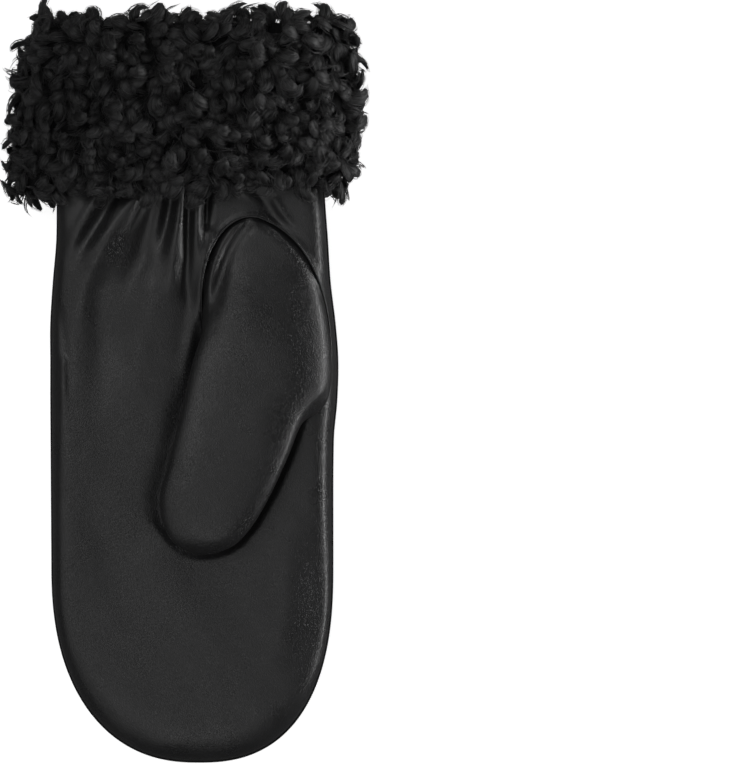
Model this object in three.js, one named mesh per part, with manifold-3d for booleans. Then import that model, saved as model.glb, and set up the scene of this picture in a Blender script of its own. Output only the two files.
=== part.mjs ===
import * as THREE from "three";
import { mergeVertices } from "three/addons/utils/BufferGeometryUtils.js";
import Module from "manifold-3d";

// A left-hand dress mitten in black leather with a turned-up cuff of curly shearling, as one of a
// pair. It lies palm up. +Y runs from the fingertips to the cuff, +X to the thumb's side, and z = 0
// is the surface that it lies on. All sizes are in millimetres.

const wasm = await Module();
wasm.setup();

// Driving sizes
const leatherWall = 2; // leather and its lining together
const thumbWall = 1.6;
const seamGap = 0.4; // between the palm's edge and the back's edge, all round the hand
const seamHeight = 9; // the side seam above the hand's underside
const mouthY = 134; // where the leather ends, inside the cuff
const tipStartY = -70; // where the round fingertip begins
const tipLength = 74.8;
const tipRoundness = 2.4; // superellipse power of the fingertip's outline
const tipLean = 2.6; // how far the fingertip leans to the thumb's side
const wristLift = 9; // how far the cuff's pile lifts the wrist off the ground
const wristLiftFromY = 15;
const wristLiftToY = 74;

// The hand's left and right edge along its length
const handEdges = [
  { y: 136, left: -47.2, right: 51.8 },
  { y: 72, left: -48.4, right: 53.0 },
  { y: 54, left: -48.7, right: 54.2 },
  { y: 38, left: -50.2, right: 55.2 },
  { y: 22, left: -51.3, right: 57.1 },
  { y: 8, left: -51.3, right: 58.1 },
  { y: -7, left: -51.3, right: 57.7 },
  { y: -22, left: -51.2, right: 56.4 },
  { y: -70, left: -50.9, right: 56.2 },
];

// The hand's thickness along its length, over both leathers
const handThickness = [
  { y: 136, thick: 20 },
  { y: 72, thick: 19.5 },
  { y: 30, thick: 22.5 },
  { y: -40, thick: 22 },
  { y: -145, thick: 17 },
];

// Gathers that run from the elastic under the cuff into the palm. Each runs from its start through
// a bend to its end and fades out there. A height below zero is a valley.
const gathers = [
  { x0: -30.8, y0: 72, x1: -40.0, y1: 57.5, x2: -46.5, y2: 44, height: 1.5, width: 4.6 },
  { x0: -24.0, y0: 72, x1: -34.0, y1: 57.5, x2: -45.0, y2: 42, height: -1.9, width: 4.6 },
  { x0: -14.5, y0: 74, x1: -34.0, y1: 46.5, x2: -42.0, y2: 12, height: 2.5, width: 5.0 },
  { x0: -12.6, y0: 74, x1: -17.3, y1: 64.0, x2: -23.0, y2: 54, height: -1.8, width: 2.6 },
  { x0: -9.0, y0: 68, x1: -17.5, y1: 44.5, x2: -33.0, y2: 20, height: -2.3, width: 7.5 },
  { x0: -7.0, y0: 74, x1: -10.5, y1: 60.0, x2: -14.5, y2: 46, height: 2.2, width: 3.6 },
  { x0: -4.0, y0: 74, x1: -6.5, y1: 58.0, x2: -11.0, y2: 42, height: -2.0, width: 3.6 },
  { x0: -0.8, y0: 76, x1: -3.5, y1: 54.0, x2: -7.2, y2: 27, height: 3.0, width: 4.0 },
  { x0: 2.2, y0: 76, x1: 1.8, y1: 52.0, x2: 0.6, y2: 28, height: -2.8, width: 2.8 },
  { x0: 7.2, y0: 76, x1: 5.2, y1: 58.0, x2: 7.0, y2: 42, height: 2.8, width: 3.6 },
  { x0: 10.6, y0: 76, x1: 10.0, y1: 61.0, x2: 8.8, y2: 48, height: -2.4, width: 2.8 },
  { x0: 9.0, y0: 56, x1: 3.6, y1: 20.0, x2: -4.6, y2: -16, height: 1.7, width: 4.2 },
  { x0: 27.0, y0: 72, x1: 36.0, y1: 60.0, x2: 46.0, y2: 47, height: -1.5, width: 5.0 },
];
const gathersFadeFromY = 72;
const gathersFadeToY = 84;

// The thumb's sections from its root, set in the palm, to its tip: left and right edge, how far the
// section's top and bottom lean towards the cuff, and its lowest and highest point
const thumbSections = [
  { lx: 6.8, ly: 31.2, rx: 55.3, ry: 11.4, topLean: 40.3, lowLean: -27.4, low: 22.0, high: 22.0 },
  { lx: 6.8, ly: 23.6, rx: 55.9, ry: 6.1, topLean: 32.7, lowLean: -22.0, low: 22.9, high: 27.0 },
  { lx: 6.8, ly: 14.8, rx: 55.1, ry: -1.5, topLean: 23.7, lowLean: -15.8, low: 23.1, high: 31.5 },
  { lx: 3.0, ly: 3.8, rx: 52.1, ry: -6.8, topLean: 13.7, lowLean: -10.7, low: 23.2, high: 35.0 },
  { lx: 0.0, ly: -7.6, rx: 44.8, ry: -14.8, topLean: 5.1, lowLean: -5.1, low: 23.2, high: 37.0 },
  { lx: -3.4, ly: -20.5, rx: 39.5, ry: -27.7, topLean: 1.0, lowLean: -2.0, low: 23.2, high: 37.8 },
  { lx: -6.5, ly: -32.7, rx: 33.1, ry: -41.8, topLean: 0.0, lowLean: 0.0, low: 23.2, high: 37.6 },
  { lx: -9.1, ly: -42.9, rx: 25.5, ry: -52.8, topLean: 0.0, lowLean: 0.0, low: 23.3, high: 36.8 },
  { lx: -8.7, ly: -51.7, rx: 17.9, ry: -60.0, topLean: 0.0, lowLean: 0.0, low: 24.0, high: 35.6 },
  { lx: -5.4, ly: -58.6, rx: 13.4, ry: -62.4, topLean: 0.0, lowLean: 0.0, low: 25.6, high: 34.0 },
  { lx: 1.2, ly: -64.3, rx: 8.2, ry: -64.9, topLean: 0.0, lowLean: 0.0, low: 28.6, high: 31.4 },
];
// The pleat in the thumb's root: a valley and the narrow ridge at its left
const thumbFolds = [
  { x0: 19.4, y0: 59.0, x1: 14.4, y1: 42.0, x2: 9.6, y2: 18, height: -1.6, width: 5.6 },
  { x0: 15.0, y0: 59.0, x1: 10.2, y1: 42.0, x2: 7.4, y2: 22, height: 0.9, width: 3.2 },
];
const thumbRoundness = 2.3;
const thumbRootDrop = 1; // the thumb's root lies this far under the palm's surface
const thumbHoleGap = 0.35;
const thumbLift = 0.7; // the thumb's clearance over the palm, once it's out of its hole
const thumbRiseShare = 0.012; // the share of its length in which it comes out of the hole
const thumbInnerReach = 0.955; // the share of the thumb's length that its hollow has

// The three stitched points on the back: each a narrow raised tuck between two rows of stitches
const backPoints = [
  { name: "little finger", x0: -25.0, y0: -49.4, x1: -11.8, y1: 34.2 },
  { name: "middle finger", x0: 2.7, y0: -55.8, x1: 3.0, y1: 33.0 },
  { name: "index finger", x0: 29.7, y0: -49.4, x1: 17.0, y1: 34.2 },
];
const tuckWidth = 1.8;
const tuckHeight = 0.7; // how far a tuck stands out of the leather
const backArch = 1; // the back's middle clears the ground by this much, so no tuck carries weight
const backFlatShare = 0.7; // the share of the half width that rests flat

// The cuff: a band round the wrist, folded back, with its pile outwards
const cuffTopY = 145;
const cuffLowY = 70.5;
const cuffGap = 0.5; // between the cuff's backing and the leather
const cuffFlare = 4.2; // the same gap at the cuff's lower edge, over the gathers
const cuffSections = [
  { y: 142, left: -60.0, right: 62.5, top: 40.5 },
  { y: 120, left: -62.5, right: 64.5, top: 42.5 },
  { y: 98, left: -65.0, right: 65.5, top: 43.0 },
  { y: 70, left: -66.5, right: 65.0, top: 42.5 },
];
const cuffRoundness = 2.7;
const lockRows = 21;
const lockColumns = 84;
const lockHeight = 3.0;
const lockHeightSpread = 3.2;
const lockDroop = 2.2; // how far a lock's tip hangs towards the fingers
const lockShift = 2.4; // how far a lock may stand from its even place, either way together

// Numbers of faces
const palmFlatColumns = 10;
const backFlatColumns = 5;
const edgeColumns = 4;
const flatShareOfWidth = 0.86;
const thumbSides = 26;
const thumbRings = 15;

// A smooth curve through one column of a table, at a value of its first column
function along(table, at, key, column) {
  const rows = table.length;
  const rising = table[rows - 1][key] > table[0][key];
  let i = 0;
  while (i < rows - 2 && (rising ? at > table[i + 1][key] : at < table[i + 1][key])) i += 1;
  const slope = (k) => {
    const before = table[Math.max(k - 1, 0)];
    const after = table[Math.min(k + 1, rows - 1)];
    return (after[column] - before[column]) / (after[key] - before[key]);
  };
  const [p, q] = [table[i], table[i + 1]];
  const span = q[key] - p[key];
  const t = THREE.MathUtils.clamp((at - p[key]) / span, 0, 1);
  const [t2, t3] = [t * t, t * t * t];
  return (
    (2 * t3 - 3 * t2 + 1) * p[column] +
    (t3 - 2 * t2 + t) * span * slope(i) +
    (3 * t2 - 2 * t3) * q[column] +
    (t3 - t2) * span * slope(i + 1)
  );
}

// A steady value from 0 to 1 for a pair of whole numbers
function scatter(a, b) {
  const s = Math.sin(a * 127.1 + b * 311.7) * 43758.5453;
  return s - Math.floor(s);
}

// The hand's plan
function handMiddle(y) {
  const at = Math.max(y, tipStartY);
  const middle = (along(handEdges, at, "y", "left") + along(handEdges, at, "y", "right")) / 2;
  const past = Math.max(0, (tipStartY - y) / tipLength);
  return middle + tipLean * past * past;
}

function handHalfWidth(y) {
  const at = Math.max(y, tipStartY);
  return (along(handEdges, at, "y", "right") - along(handEdges, at, "y", "left")) / 2;
}

// 0 on the hand's middle line, 1 on its outline
function outwardness(x, y) {
  const across = Math.abs(x - handMiddle(y)) / handHalfWidth(y);
  const past = Math.max(0, (tipStartY - y) / tipLength);
  return Math.pow(Math.pow(across, tipRoundness) + Math.pow(past, tipRoundness), 1 / tipRoundness);
}

// A point of the hand's plan. u is -1 to 1 across, and v is a y along the straight part, or
// { tip } from 0 to 1 round the fingertip, where the grid is bent into a half disc.
function planPoint(u, v) {
  if (typeof v === "number") return [handMiddle(v) + handHalfWidth(v) * u, v];
  const across = u * Math.sqrt(1 - (v.tip * v.tip) / 2);
  const down = v.tip * Math.sqrt(1 - (u * u) / 2);
  const reach = Math.hypot(across, down) || 1;
  const power = Math.pow(
    Math.pow(Math.abs(across) / reach, tipRoundness) + Math.pow(down / reach, tipRoundness),
    -1 / tipRoundness,
  );
  const y = tipStartY - tipLength * power * down;
  return [handMiddle(y) + handHalfWidth(tipStartY) * power * across, y];
}

// The hand's heights
function underside(y) {
  return wristLift * THREE.MathUtils.smoothstep(y, wristLiftFromY, wristLiftToY);
}

function seamZ(y) {
  return underside(y) + seamHeight;
}

function palmProfile(e) {
  return Math.sqrt(Math.max(0, 1 - Math.pow(e, 6)));
}

function backProfile(e) {
  const past = Math.max(0, (e - backFlatShare) / (1 - backFlatShare));
  return Math.pow(Math.max(0, 1 - Math.pow(past, 2.2)), 1 / 2.2);
}

// The leather's height over the plan from one gather or valley
function gatherHeight(gather, x, y) {
  const samples = 10;
  const bend = (a, b, c) => 2 * b - (a + c) / 2;
  const [bx, by] = [bend(gather.x0, gather.x1, gather.x2), bend(gather.y0, gather.y1, gather.y2)];
  const point = (t) => [
    (1 - t) * (1 - t) * gather.x0 + 2 * t * (1 - t) * bx + t * t * gather.x2,
    (1 - t) * (1 - t) * gather.y0 + 2 * t * (1 - t) * by + t * t * gather.y2,
  ];
  let nearest = Infinity;
  let where = 0;
  let [px, py] = point(0);
  for (let k = 1; k <= samples; k += 1) {
    const [qx, qy] = point(k / samples);
    const [dx, dy] = [qx - px, qy - py];
    const share = ((x - px) * dx + (y - py) * dy) / (dx * dx + dy * dy);
    const f = THREE.MathUtils.clamp(share, 0, 1);
    const d = Math.hypot(x - px - f * dx, y - py - f * dy);
    if (d < nearest) [nearest, where] = [d, (k - 1 + f) / samples];
    [px, py] = [qx, qy];
  }
  const across = Math.exp(-Math.pow(nearest / (gather.width * 0.62), 2));
  return gather.height * across * (1 - THREE.MathUtils.smoothstep(where, 0.35, 1));
}

function gathersAt(x, y, e) {
  const sum = gathers.reduce((total, gather) => total + gatherHeight(gather, x, y), 0);
  const underCuff = 1 - THREE.MathUtils.smoothstep(y, gathersFadeFromY, gathersFadeToY);
  const atEdge = 1 - THREE.MathUtils.smoothstep(e, 0.86, 1);
  return sum * underCuff * atEdge;
}

function palmCrown(y) {
  return along(handThickness, y, "y", "thick") - seamHeight;
}

function palmHeight(x, y) {
  const e = outwardness(x, y);
  return seamZ(y) + palmCrown(y) * palmProfile(e) + gathersAt(x, y, e);
}

// Which way a leather faces at a point of the plan, from its profile's slope there
function facing(x, y, crown, profile, up) {
  const e = outwardness(x, y);
  const step = 0.01;
  const wide = [
    outwardness(x + step, y) - outwardness(x - step, y),
    outwardness(x, y + step) - outwardness(x, y - step),
  ].map((d) => d / (2 * step));
  if (e > 0.9995) return new THREE.Vector3(wide[0], wide[1], 0).normalize();
  const near = 0.004;
  const fall = (profile(e - near) - profile(Math.min(e + near, 1))) / (Math.min(e + near, 1) - e + near);
  return new THREE.Vector3(crown * fall * wide[0], crown * fall * wide[1], up).normalize();
}

function palmPoint(x, y, inset) {
  const point = new THREE.Vector3(x, y, Math.max(palmHeight(x, y), seamZ(y)) + seamGap / 2);
  return point.addScaledVector(facing(x, y, palmCrown(y), palmProfile, 1), -inset);
}

// The back's middle is arched by a little, between the fingertip's flat and the wrist
function archAt(x, y) {
  const e = Math.abs(x - handMiddle(y)) / handHalfWidth(y);
  const wide = 1 - THREE.MathUtils.smoothstep(e, 0.62, backFlatShare);
  const long = THREE.MathUtils.smoothstep(y, -72, -62) * (1 - THREE.MathUtils.smoothstep(y, 46, 60));
  return backArch * wide * long;
}

function backPoint(x, y, inset) {
  const drop = seamHeight * backProfile(outwardness(x, y));
  const point = new THREE.Vector3(x, y, seamZ(y) - seamGap / 2 - drop + archAt(x, y));
  point.z = Math.max(point.z, underside(y));
  return point.addScaledVector(facing(x, y, seamHeight, backProfile, -1), -inset);
}

// A closed body between an outer and an inner grid of points, joined round the grids' edge
function sheetBetween(outer, inner, turned) {
  const rows = outer.length;
  const columns = outer[0].length;
  const positions = [...outer.flat(), ...inner.flat()].flatMap((p) => [p.x, p.y, p.z]);
  const faces = [];
  const at = (layer, r, c) => layer * rows * columns + r * columns + c;
  const quad = (a, b, c, d) => faces.push(...(turned ? [a, c, b, a, d, c] : [a, b, c, a, c, d]));
  for (let r = 0; r < rows - 1; r += 1) {
    for (let c = 0; c < columns - 1; c += 1) {
      quad(at(0, r, c), at(0, r + 1, c), at(0, r + 1, c + 1), at(0, r, c + 1));
      quad(at(1, r, c), at(1, r, c + 1), at(1, r + 1, c + 1), at(1, r + 1, c));
    }
  }
  const rim = [];
  for (let c = 0; c < columns - 1; c += 1) rim.push([0, c]);
  for (let r = 0; r < rows - 1; r += 1) rim.push([r, columns - 1]);
  for (let c = columns - 1; c > 0; c -= 1) rim.push([rows - 1, c]);
  for (let r = rows - 1; r > 0; r -= 1) rim.push([r, 0]);
  rim.forEach(([r, c], k) => {
    const [nextR, nextC] = rim[(k + 1) % rim.length];
    quad(at(0, r, c), at(0, nextR, nextC), at(1, nextR, nextC), at(1, r, c));
  });
  return closedGeometry(positions, faces);
}

// A closed body between two lofts of rings, open at their first ring and closed at their last
function pocketBetween(outer, inner) {
  const sides = outer[0].length;
  const layers = [...outer, ...inner];
  const middle = (ring) =>
    ring.reduce((sum, p) => sum.add(p), new THREE.Vector3()).divideScalar(sides);
  const tips = [middle(outer[outer.length - 1]), middle(inner[inner.length - 1])];
  const positions = [...layers.flat(), ...tips].flatMap((p) => [p.x, p.y, p.z]);
  const faces = [];
  const at = (ring, k) => ring * sides + (k % sides);
  const band = (a, b, k, turned) => {
    const [p, q, r, s] = [at(a, k), at(a, k + 1), at(b, k + 1), at(b, k)];
    faces.push(...(turned ? [p, r, q, p, s, r] : [p, q, r, p, r, s]));
  };
  const tip = layers.length * sides;
  for (let k = 0; k < sides; k += 1) {
    for (let i = 0; i < outer.length - 1; i += 1) band(i, i + 1, k, false);
    for (let i = 0; i < inner.length - 1; i += 1) band(outer.length + i, outer.length + i + 1, k, true);
    band(0, outer.length, k, true);
    faces.push(at(outer.length - 1, k), at(outer.length - 1, k + 1), tip);
    faces.push(at(layers.length - 1, k + 1), at(layers.length - 1, k), tip + 1);
  }
  return closedGeometry(positions, faces);
}

// A closed body swept round a ring: each loop is a list of points round the opening
function ringOf(loops) {
  const count = loops[0].length;
  const positions = loops.flat().flatMap((p) => [p.x, p.y, p.z]);
  const faces = [];
  const at = (loop, k) => (loop % loops.length) * count + (k % count);
  for (let i = 0; i < loops.length; i += 1) {
    for (let k = 0; k < count; k += 1) {
      const [p, q, r, s] = [at(i, k), at(i, k + 1), at(i + 1, k + 1), at(i + 1, k)];
      faces.push(p, q, r, p, r, s);
    }
  }
  return closedGeometry(positions, faces);
}

function closedGeometry(positions, faces) {
  const geometry = new THREE.BufferGeometry();
  geometry.setAttribute("position", new THREE.Float32BufferAttribute(positions, 3));
  geometry.setIndex(faces);
  return geometry;
}

function solidOf(geometry) {
  const bare = geometry.clone();
  bare.deleteAttribute("normal");
  bare.deleteAttribute("uv");
  const merged = mergeVertices(bare, 1e-4);
  return new wasm.Manifold(
    new wasm.Mesh({
      numProp: 3,
      vertProperties: new Float32Array(merged.attributes.position.array),
      triVerts: new Uint32Array(merged.index.array),
    }),
  );
}

function geometryOf(solid) {
  const mesh = solid.getMesh();
  return closedGeometry(Array.from(mesh.vertProperties), Array.from(mesh.triVerts));
}

// Columns across the hand, close together where its edge is round
function columnsAcross(flatColumns) {
  const half = [];
  for (let k = 0; k <= flatColumns; k += 1) half.push((flatShareOfWidth * k) / flatColumns);
  for (let k = 1; k <= edgeColumns; k += 1) {
    const turn = Math.sin((Math.PI / 2) * (k / edgeColumns));
    half.push(flatShareOfWidth + (1 - flatShareOfWidth) * turn);
  }
  return [...half.slice(1).reverse().map((u) => -u), ...half];
}

// Evenly spaced steps from one value to another, without the last one
function steps(from, to, count) {
  return Array.from({ length: count }, (_, k) => from + ((to - from) * k) / count);
}

// The rows round the fingertip, from the straight part's last row to the tip
function tipRows(count) {
  const turned = Array.from({ length: count }, (_, k) => Math.sin(((Math.PI / 2) * (k + 1)) / count));
  return [tipStartY, ...turned.map((tip) => ({ tip }))];
}

function leatherSheet(pointAt, columns, rows, turned) {
  const grid = (inset) =>
    rows.map((v) => columns.map((u) => pointAt(...planPoint(u, v), inset)));
  return sheetBetween(grid(0), grid(leatherWall), turned);
}

// The thumb's section at a share of its length, its inside or outside by a wall's thickness
function thumbRing(share, inset) {
  const station = share * (thumbSections.length - 1);
  const rows = thumbSections.map((row, station_) => ({ ...row, station: station_ }));
  const value = (column) => along(rows, station, "station", column);
  const left = new THREE.Vector3(value("lx"), value("ly"), 0);
  const right = new THREE.Vector3(value("rx"), value("ry"), 0);
  const middle = left.clone().add(right).divideScalar(2);
  middle.z = (value("low") + value("high")) / 2;
  const half = (value("high") - value("low")) / 2;
  const lean = -0.047; // the section's lean also carries its top a little to the side
  const arms = {
    side: right.clone().sub(left).divideScalar(2),
    top: new THREE.Vector3(lean * value("topLean"), value("topLean"), half),
    low: new THREE.Vector3(-lean * value("lowLean"), value("lowLean"), -half),
  };
  Object.values(arms).forEach((arm) => arm.setLength(Math.max(arm.length() - inset, 0.3)));
  const risen = THREE.MathUtils.smoothstep(share, 0, thumbRiseShare);
  return Array.from({ length: thumbSides }, (_, k) => {
    const angle = (2 * Math.PI * k) / thumbSides;
    const [c, s] = [Math.cos(angle), Math.sin(angle)];
    const rounded = (t) => Math.sign(t) * Math.pow(Math.abs(t), 2 / thumbRoundness);
    const point = middle.clone().addScaledVector(arms.side, rounded(c));
    point.addScaledVector(s > 0 ? arms.top : arms.low, Math.abs(rounded(s)));
    const palm = palmHeight(point.x, point.y);
    const folded = thumbFolds.reduce((sum, fold) => sum + gatherHeight(fold, point.x, point.y), 0);
    if (s > 0) point.z += folded * s;
    const clear = Math.max(point.z, palm + thumbLift + inset);
    point.z = THREE.MathUtils.lerp(palm - thumbRootDrop, clear, risen);
    return point;
  });
}

function palmPanel() {
  const rows = [
    ...steps(mouthY, gathersFadeToY, 3),
    ...steps(gathersFadeToY, 20, 17),
    ...steps(20, tipStartY, 9),
    ...tipRows(8),
  ];
  const sheet = leatherSheet(palmPoint, columnsAcross(palmFlatColumns), rows, false);
  const outline = thumbRing(0, -thumbHoleGap).map((p) => new THREE.Vector2(p.x, p.y));
  const hole = new THREE.ExtrudeGeometry(new THREE.Shape(outline), { depth: 60, bevelEnabled: false });
  return geometryOf(solidOf(sheet).subtract(solidOf(hole)));
}

// One tuck: a bar with a round outer side, sunk in the leather by its own width
function tuck(point) {
  const length = Math.hypot(point.x1 - point.x0, point.y1 - point.y0);
  const half = tuckWidth / 2;
  const section = new THREE.Shape();
  section.moveTo(-half, 0);
  section.quadraticCurveTo(-half, -tuckHeight, 0, -tuckHeight);
  section.quadraticCurveTo(half, -tuckHeight, half, 0);
  section.lineTo(half, 1);
  section.lineTo(-half, 1);
  const bar = new THREE.ExtrudeGeometry(section, { depth: length, bevelEnabled: false, curveSegments: 2 });
  bar.rotateX(Math.PI / 2);
  bar.rotateZ(Math.atan2(point.y1 - point.y0, point.x1 - point.x0) + Math.PI / 2);
  bar.translate(point.x0, point.y0, backArch);
  return solidOf(bar);
}

function backPanel() {
  const rows = [
    ...steps(mouthY, wristLiftToY, 3),
    ...steps(wristLiftToY, wristLiftFromY, 7),
    ...steps(wristLiftFromY, tipStartY, 6),
    ...tipRows(6),
  ];
  const sheet = leatherSheet(backPoint, columnsAcross(backFlatColumns), rows, true);
  const tucks = backPoints.map(tuck);
  return geometryOf(tucks.reduce((whole, bar) => whole.add(bar), solidOf(sheet)));
}

function thumb() {
  const shares = [0, ...steps(thumbRiseShare, 1, thumbRings - 2), 1];
  const outer = shares.map((share) => thumbRing(share, 0));
  const inner = shares.map((share) => thumbRing(share * thumbInnerReach, thumbWall));
  return pocketBetween(outer, inner);
}

// The leather's outline at a y inside the cuff, grown by a gap
function wristPoint(angle, y, gap) {
  const u = Math.cos(angle);
  const e = Math.abs(u);
  const top = Math.sin(angle) >= 0;
  const x = handMiddle(y) + handHalfWidth(y) * u;
  const drop = seamHeight * backProfile(e);
  const z = top ? seamZ(y) + palmCrown(y) * palmProfile(e) : seamZ(y) - drop;
  const out = top
    ? facing(x, y, palmCrown(y), palmProfile, 1)
    : facing(x, y, seamHeight, backProfile, -1);
  return new THREE.Vector3(x, y, z).addScaledVector(out.setY(0).normalize(), gap);
}

function cuffOutside(angle, y) {
  const value = (column) => along(cuffSections, y, "y", column);
  const rounded = (t) => Math.sign(t) * Math.pow(Math.abs(t), 2 / cuffRoundness);
  const half = (value("right") - value("left")) / 2;
  const middle = (value("right") + value("left")) / 2;
  const rise = value("top") / 2;
  const z = rise + (rise + (Math.sin(angle) < 0 ? 2 : 0)) * rounded(Math.sin(angle));
  return new THREE.Vector3(middle + half * rounded(Math.cos(angle)), y, z);
}

// Angles that are evenly spaced along the cuff's outside, with a shift of each by a share of a step
function evenAngles(shiftAt) {
  const samples = 720;
  const middleY = (cuffTopY + cuffLowY) / 2;
  const lengths = [0];
  let last = cuffOutside(0, middleY);
  for (let k = 1; k <= samples; k += 1) {
    const next = cuffOutside((2 * Math.PI * k) / samples, middleY);
    lengths.push(lengths[k - 1] + next.distanceTo(last));
    last = next;
  }
  let k = 0;
  return Array.from({ length: lockColumns }, (_, lock) => {
    const wanted = (lengths[samples] * Math.max(0, lock + shiftAt(lock))) / lockColumns;
    while (k < samples - 1 && lengths[k + 1] < wanted) k += 1;
    while (k > 0 && lengths[k] > wanted) k -= 1;
    const share = (wanted - lengths[k]) / (lengths[k + 1] - lengths[k]);
    return (2 * Math.PI * (k + share)) / samples;
  });
}

// A loop round the cuff's outside, with every other point drawn out into a drooping lock
function cuffPileLoop(row) {
  const t = (2 * row) / lockRows - 1;
  const y = (cuffTopY + cuffLowY) / 2 - ((cuffTopY - cuffLowY) / 2) * t;
  const reach = Math.pow(1 - Math.pow(Math.abs(t), 6), 1 / 4);
  const gap = THREE.MathUtils.lerp(-leatherWall, cuffFlare, (t + 1) / 2);
  return evenAngles((k) => 0.5 * (scatter(k + 7, row) - 0.5)).map((angle, k) => {
    const from = wristPoint(angle, y, gap);
    const point = from.clone().lerp(cuffOutside(angle, y), reach);
    const out = point.clone().sub(from).setY(0).normalize();
    const isLock = row % 2 === 1 && (k + (row - 1) / 2) % 2 === 0;
    point.y += lockShift * (scatter(row + 31, k) - 0.5) * (1 - t * t);
    if (isLock) {
      point.addScaledVector(out, lockHeight + lockHeightSpread * (scatter(row, k) - 0.5));
      point.y -= lockDroop * (0.6 + 0.8 * scatter(k, row + 50));
    } else {
      point.addScaledVector(out, -1.2 * scatter(row + 90, k));
    }
    point.z = Math.max(point.z, 0);
    return point;
  });
}

function cuff() {
  const loops = [];
  for (let row = 1; row < lockRows; row += 1) loops.push(cuffPileLoop(row));
  const liningRows = [
    { y: cuffLowY, gap: cuffFlare },
    { y: gathersFadeToY, gap: cuffGap },
    { y: 108, gap: cuffGap },
    { y: mouthY + 0.5, gap: cuffGap },
    { y: mouthY + 0.5, gap: -leatherWall },
    { y: cuffTopY - 1, gap: -leatherWall },
  ];
  for (const { y, gap } of liningRows) {
    loops.push(evenAngles(() => 0).map((angle) => wristPoint(angle, y, gap)));
  }
  return ringOf(loops);
}

const leather = new THREE.MeshStandardMaterial({ color: 0x1b1b1c, roughness: 0.45, metalness: 0 });
const shearling = new THREE.MeshStandardMaterial({ color: 0x121212, roughness: 0.95, metalness: 0 });

function piece(name, geometry, material) {
  geometry.computeVertexNormals();
  const mesh = new THREE.Mesh(geometry, material);
  mesh.name = name;
  return mesh;
}

const mitten = new THREE.Group();
mitten.add(piece("palm_panel", palmPanel(), leather));
mitten.add(piece("back_panel", backPanel(), leather));
mitten.add(piece("thumb", thumb(), leather));
mitten.add(piece("cuff", cuff(), shearling));

export default mitten;
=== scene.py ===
"""Dresses the packed leather mitten with fine leather, seams, stitches and shearling curls."""

import math

import bmesh
import bpy
import numpy as np
from bpy.props import FloatProperty, FloatVectorProperty, IntProperty, PointerProperty
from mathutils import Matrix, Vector


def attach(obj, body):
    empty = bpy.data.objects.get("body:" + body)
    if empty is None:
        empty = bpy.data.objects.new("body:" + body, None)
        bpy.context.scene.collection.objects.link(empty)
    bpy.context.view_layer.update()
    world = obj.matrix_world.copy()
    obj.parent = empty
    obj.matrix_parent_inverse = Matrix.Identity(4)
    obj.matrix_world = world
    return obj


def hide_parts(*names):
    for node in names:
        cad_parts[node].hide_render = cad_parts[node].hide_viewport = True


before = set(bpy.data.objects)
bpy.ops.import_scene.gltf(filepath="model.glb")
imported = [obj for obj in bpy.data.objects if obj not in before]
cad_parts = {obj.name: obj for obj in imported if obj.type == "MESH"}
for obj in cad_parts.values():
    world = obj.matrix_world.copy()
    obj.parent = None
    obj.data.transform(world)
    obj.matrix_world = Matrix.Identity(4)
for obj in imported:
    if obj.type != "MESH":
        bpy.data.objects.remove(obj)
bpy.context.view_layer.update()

bl_info = {
    "name": "Shearling Cuff Mitten",
    "version": (1, 0, 0),
    "blender": (4, 5, 0),
    "location": "View3D > Sidebar > Mitten",
    "description": "Builds the fine leather, seams, stitches and curls of a dress mitten",
    "category": "Object",
}

# Shapes are worked out in millimetres, in the frame of the solids, and made in metres.
MM = 0.001


def table(keys, *rows):
    """Rows of values under one line of keys."""
    return [dict(zip(keys.split(), row)) for row in rows]


# The hand: its plan, its thickness and how the wrist is lifted by the cuff
TIP_START_Y = -70.0
TIP_LENGTH = 74.8
TIP_ROUNDNESS = 2.4
TIP_LEAN = 2.6
SEAM_HEIGHT = 9.0
MOUTH_Y = 134.0
WRIST_LIFT = 9.0
WRIST_LIFT_FROM_Y = 15.0
WRIST_LIFT_TO_Y = 74.0
BACK_ARCH = 1.0
BACK_FLAT_SHARE = 0.7
HOLE_RIM_RISE = 0.7  # how far the palm's edge stands up round the thumb
HOLE_RIM_WIDTH = 2.6
HOLE_EDGE_RADIUS = 0.42  # the palm's turned-in edge along the thumb's seam
HOLE_EDGE_DROP = 0.3
HIDDEN_STEP = 3.0  # the size of the leather's faces under the cuff
FOLD_SPREAD = 0.62  # how far a fold's slope reaches out, as a share of its width
PALM_FLATNESS = 23.0
PALM_EDGE_ROUNDNESS = 2.3
SHARP_EDGE = 0.6  # how much squarer the palm's edge is below the thumb
RIM_DIP = 0.3  # how much lower the palm falls towards its edge there
SOFT_TIP = 0.55  # how much rounder the palm's edge is at the fingertip
SEAM_RIM = 0.42  # how far the palm's edge stands inside the back's edge
# The bead that the back's edge makes round the palm: how far out and how high, round it
SEAM_BEAD = [(0.1, 0.15), (0.18, 0.45), (0.06, 0.75), (-0.14, 0.8), (-0.32, 0.55), (-0.38, 0.1)]

HAND_EDGES = table(
    "y left right",
    (136, -47.2, 51.8),
    (72, -48.4, 53.0),
    (54, -48.7, 54.2),
    (38, -50.2, 55.2),
    (22, -51.3, 57.1),
    (8, -51.3, 58.1),
    (-7, -51.3, 57.7),
    (-22, -51.2, 56.4),
    (-70, -50.9, 56.2),
)

HAND_THICKNESS = table(
    "y thick",
    (136, 20),
    (72, 19.5),
    (30, 22.5),
    (-40, 22),
    (-145, 17),
)

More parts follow.
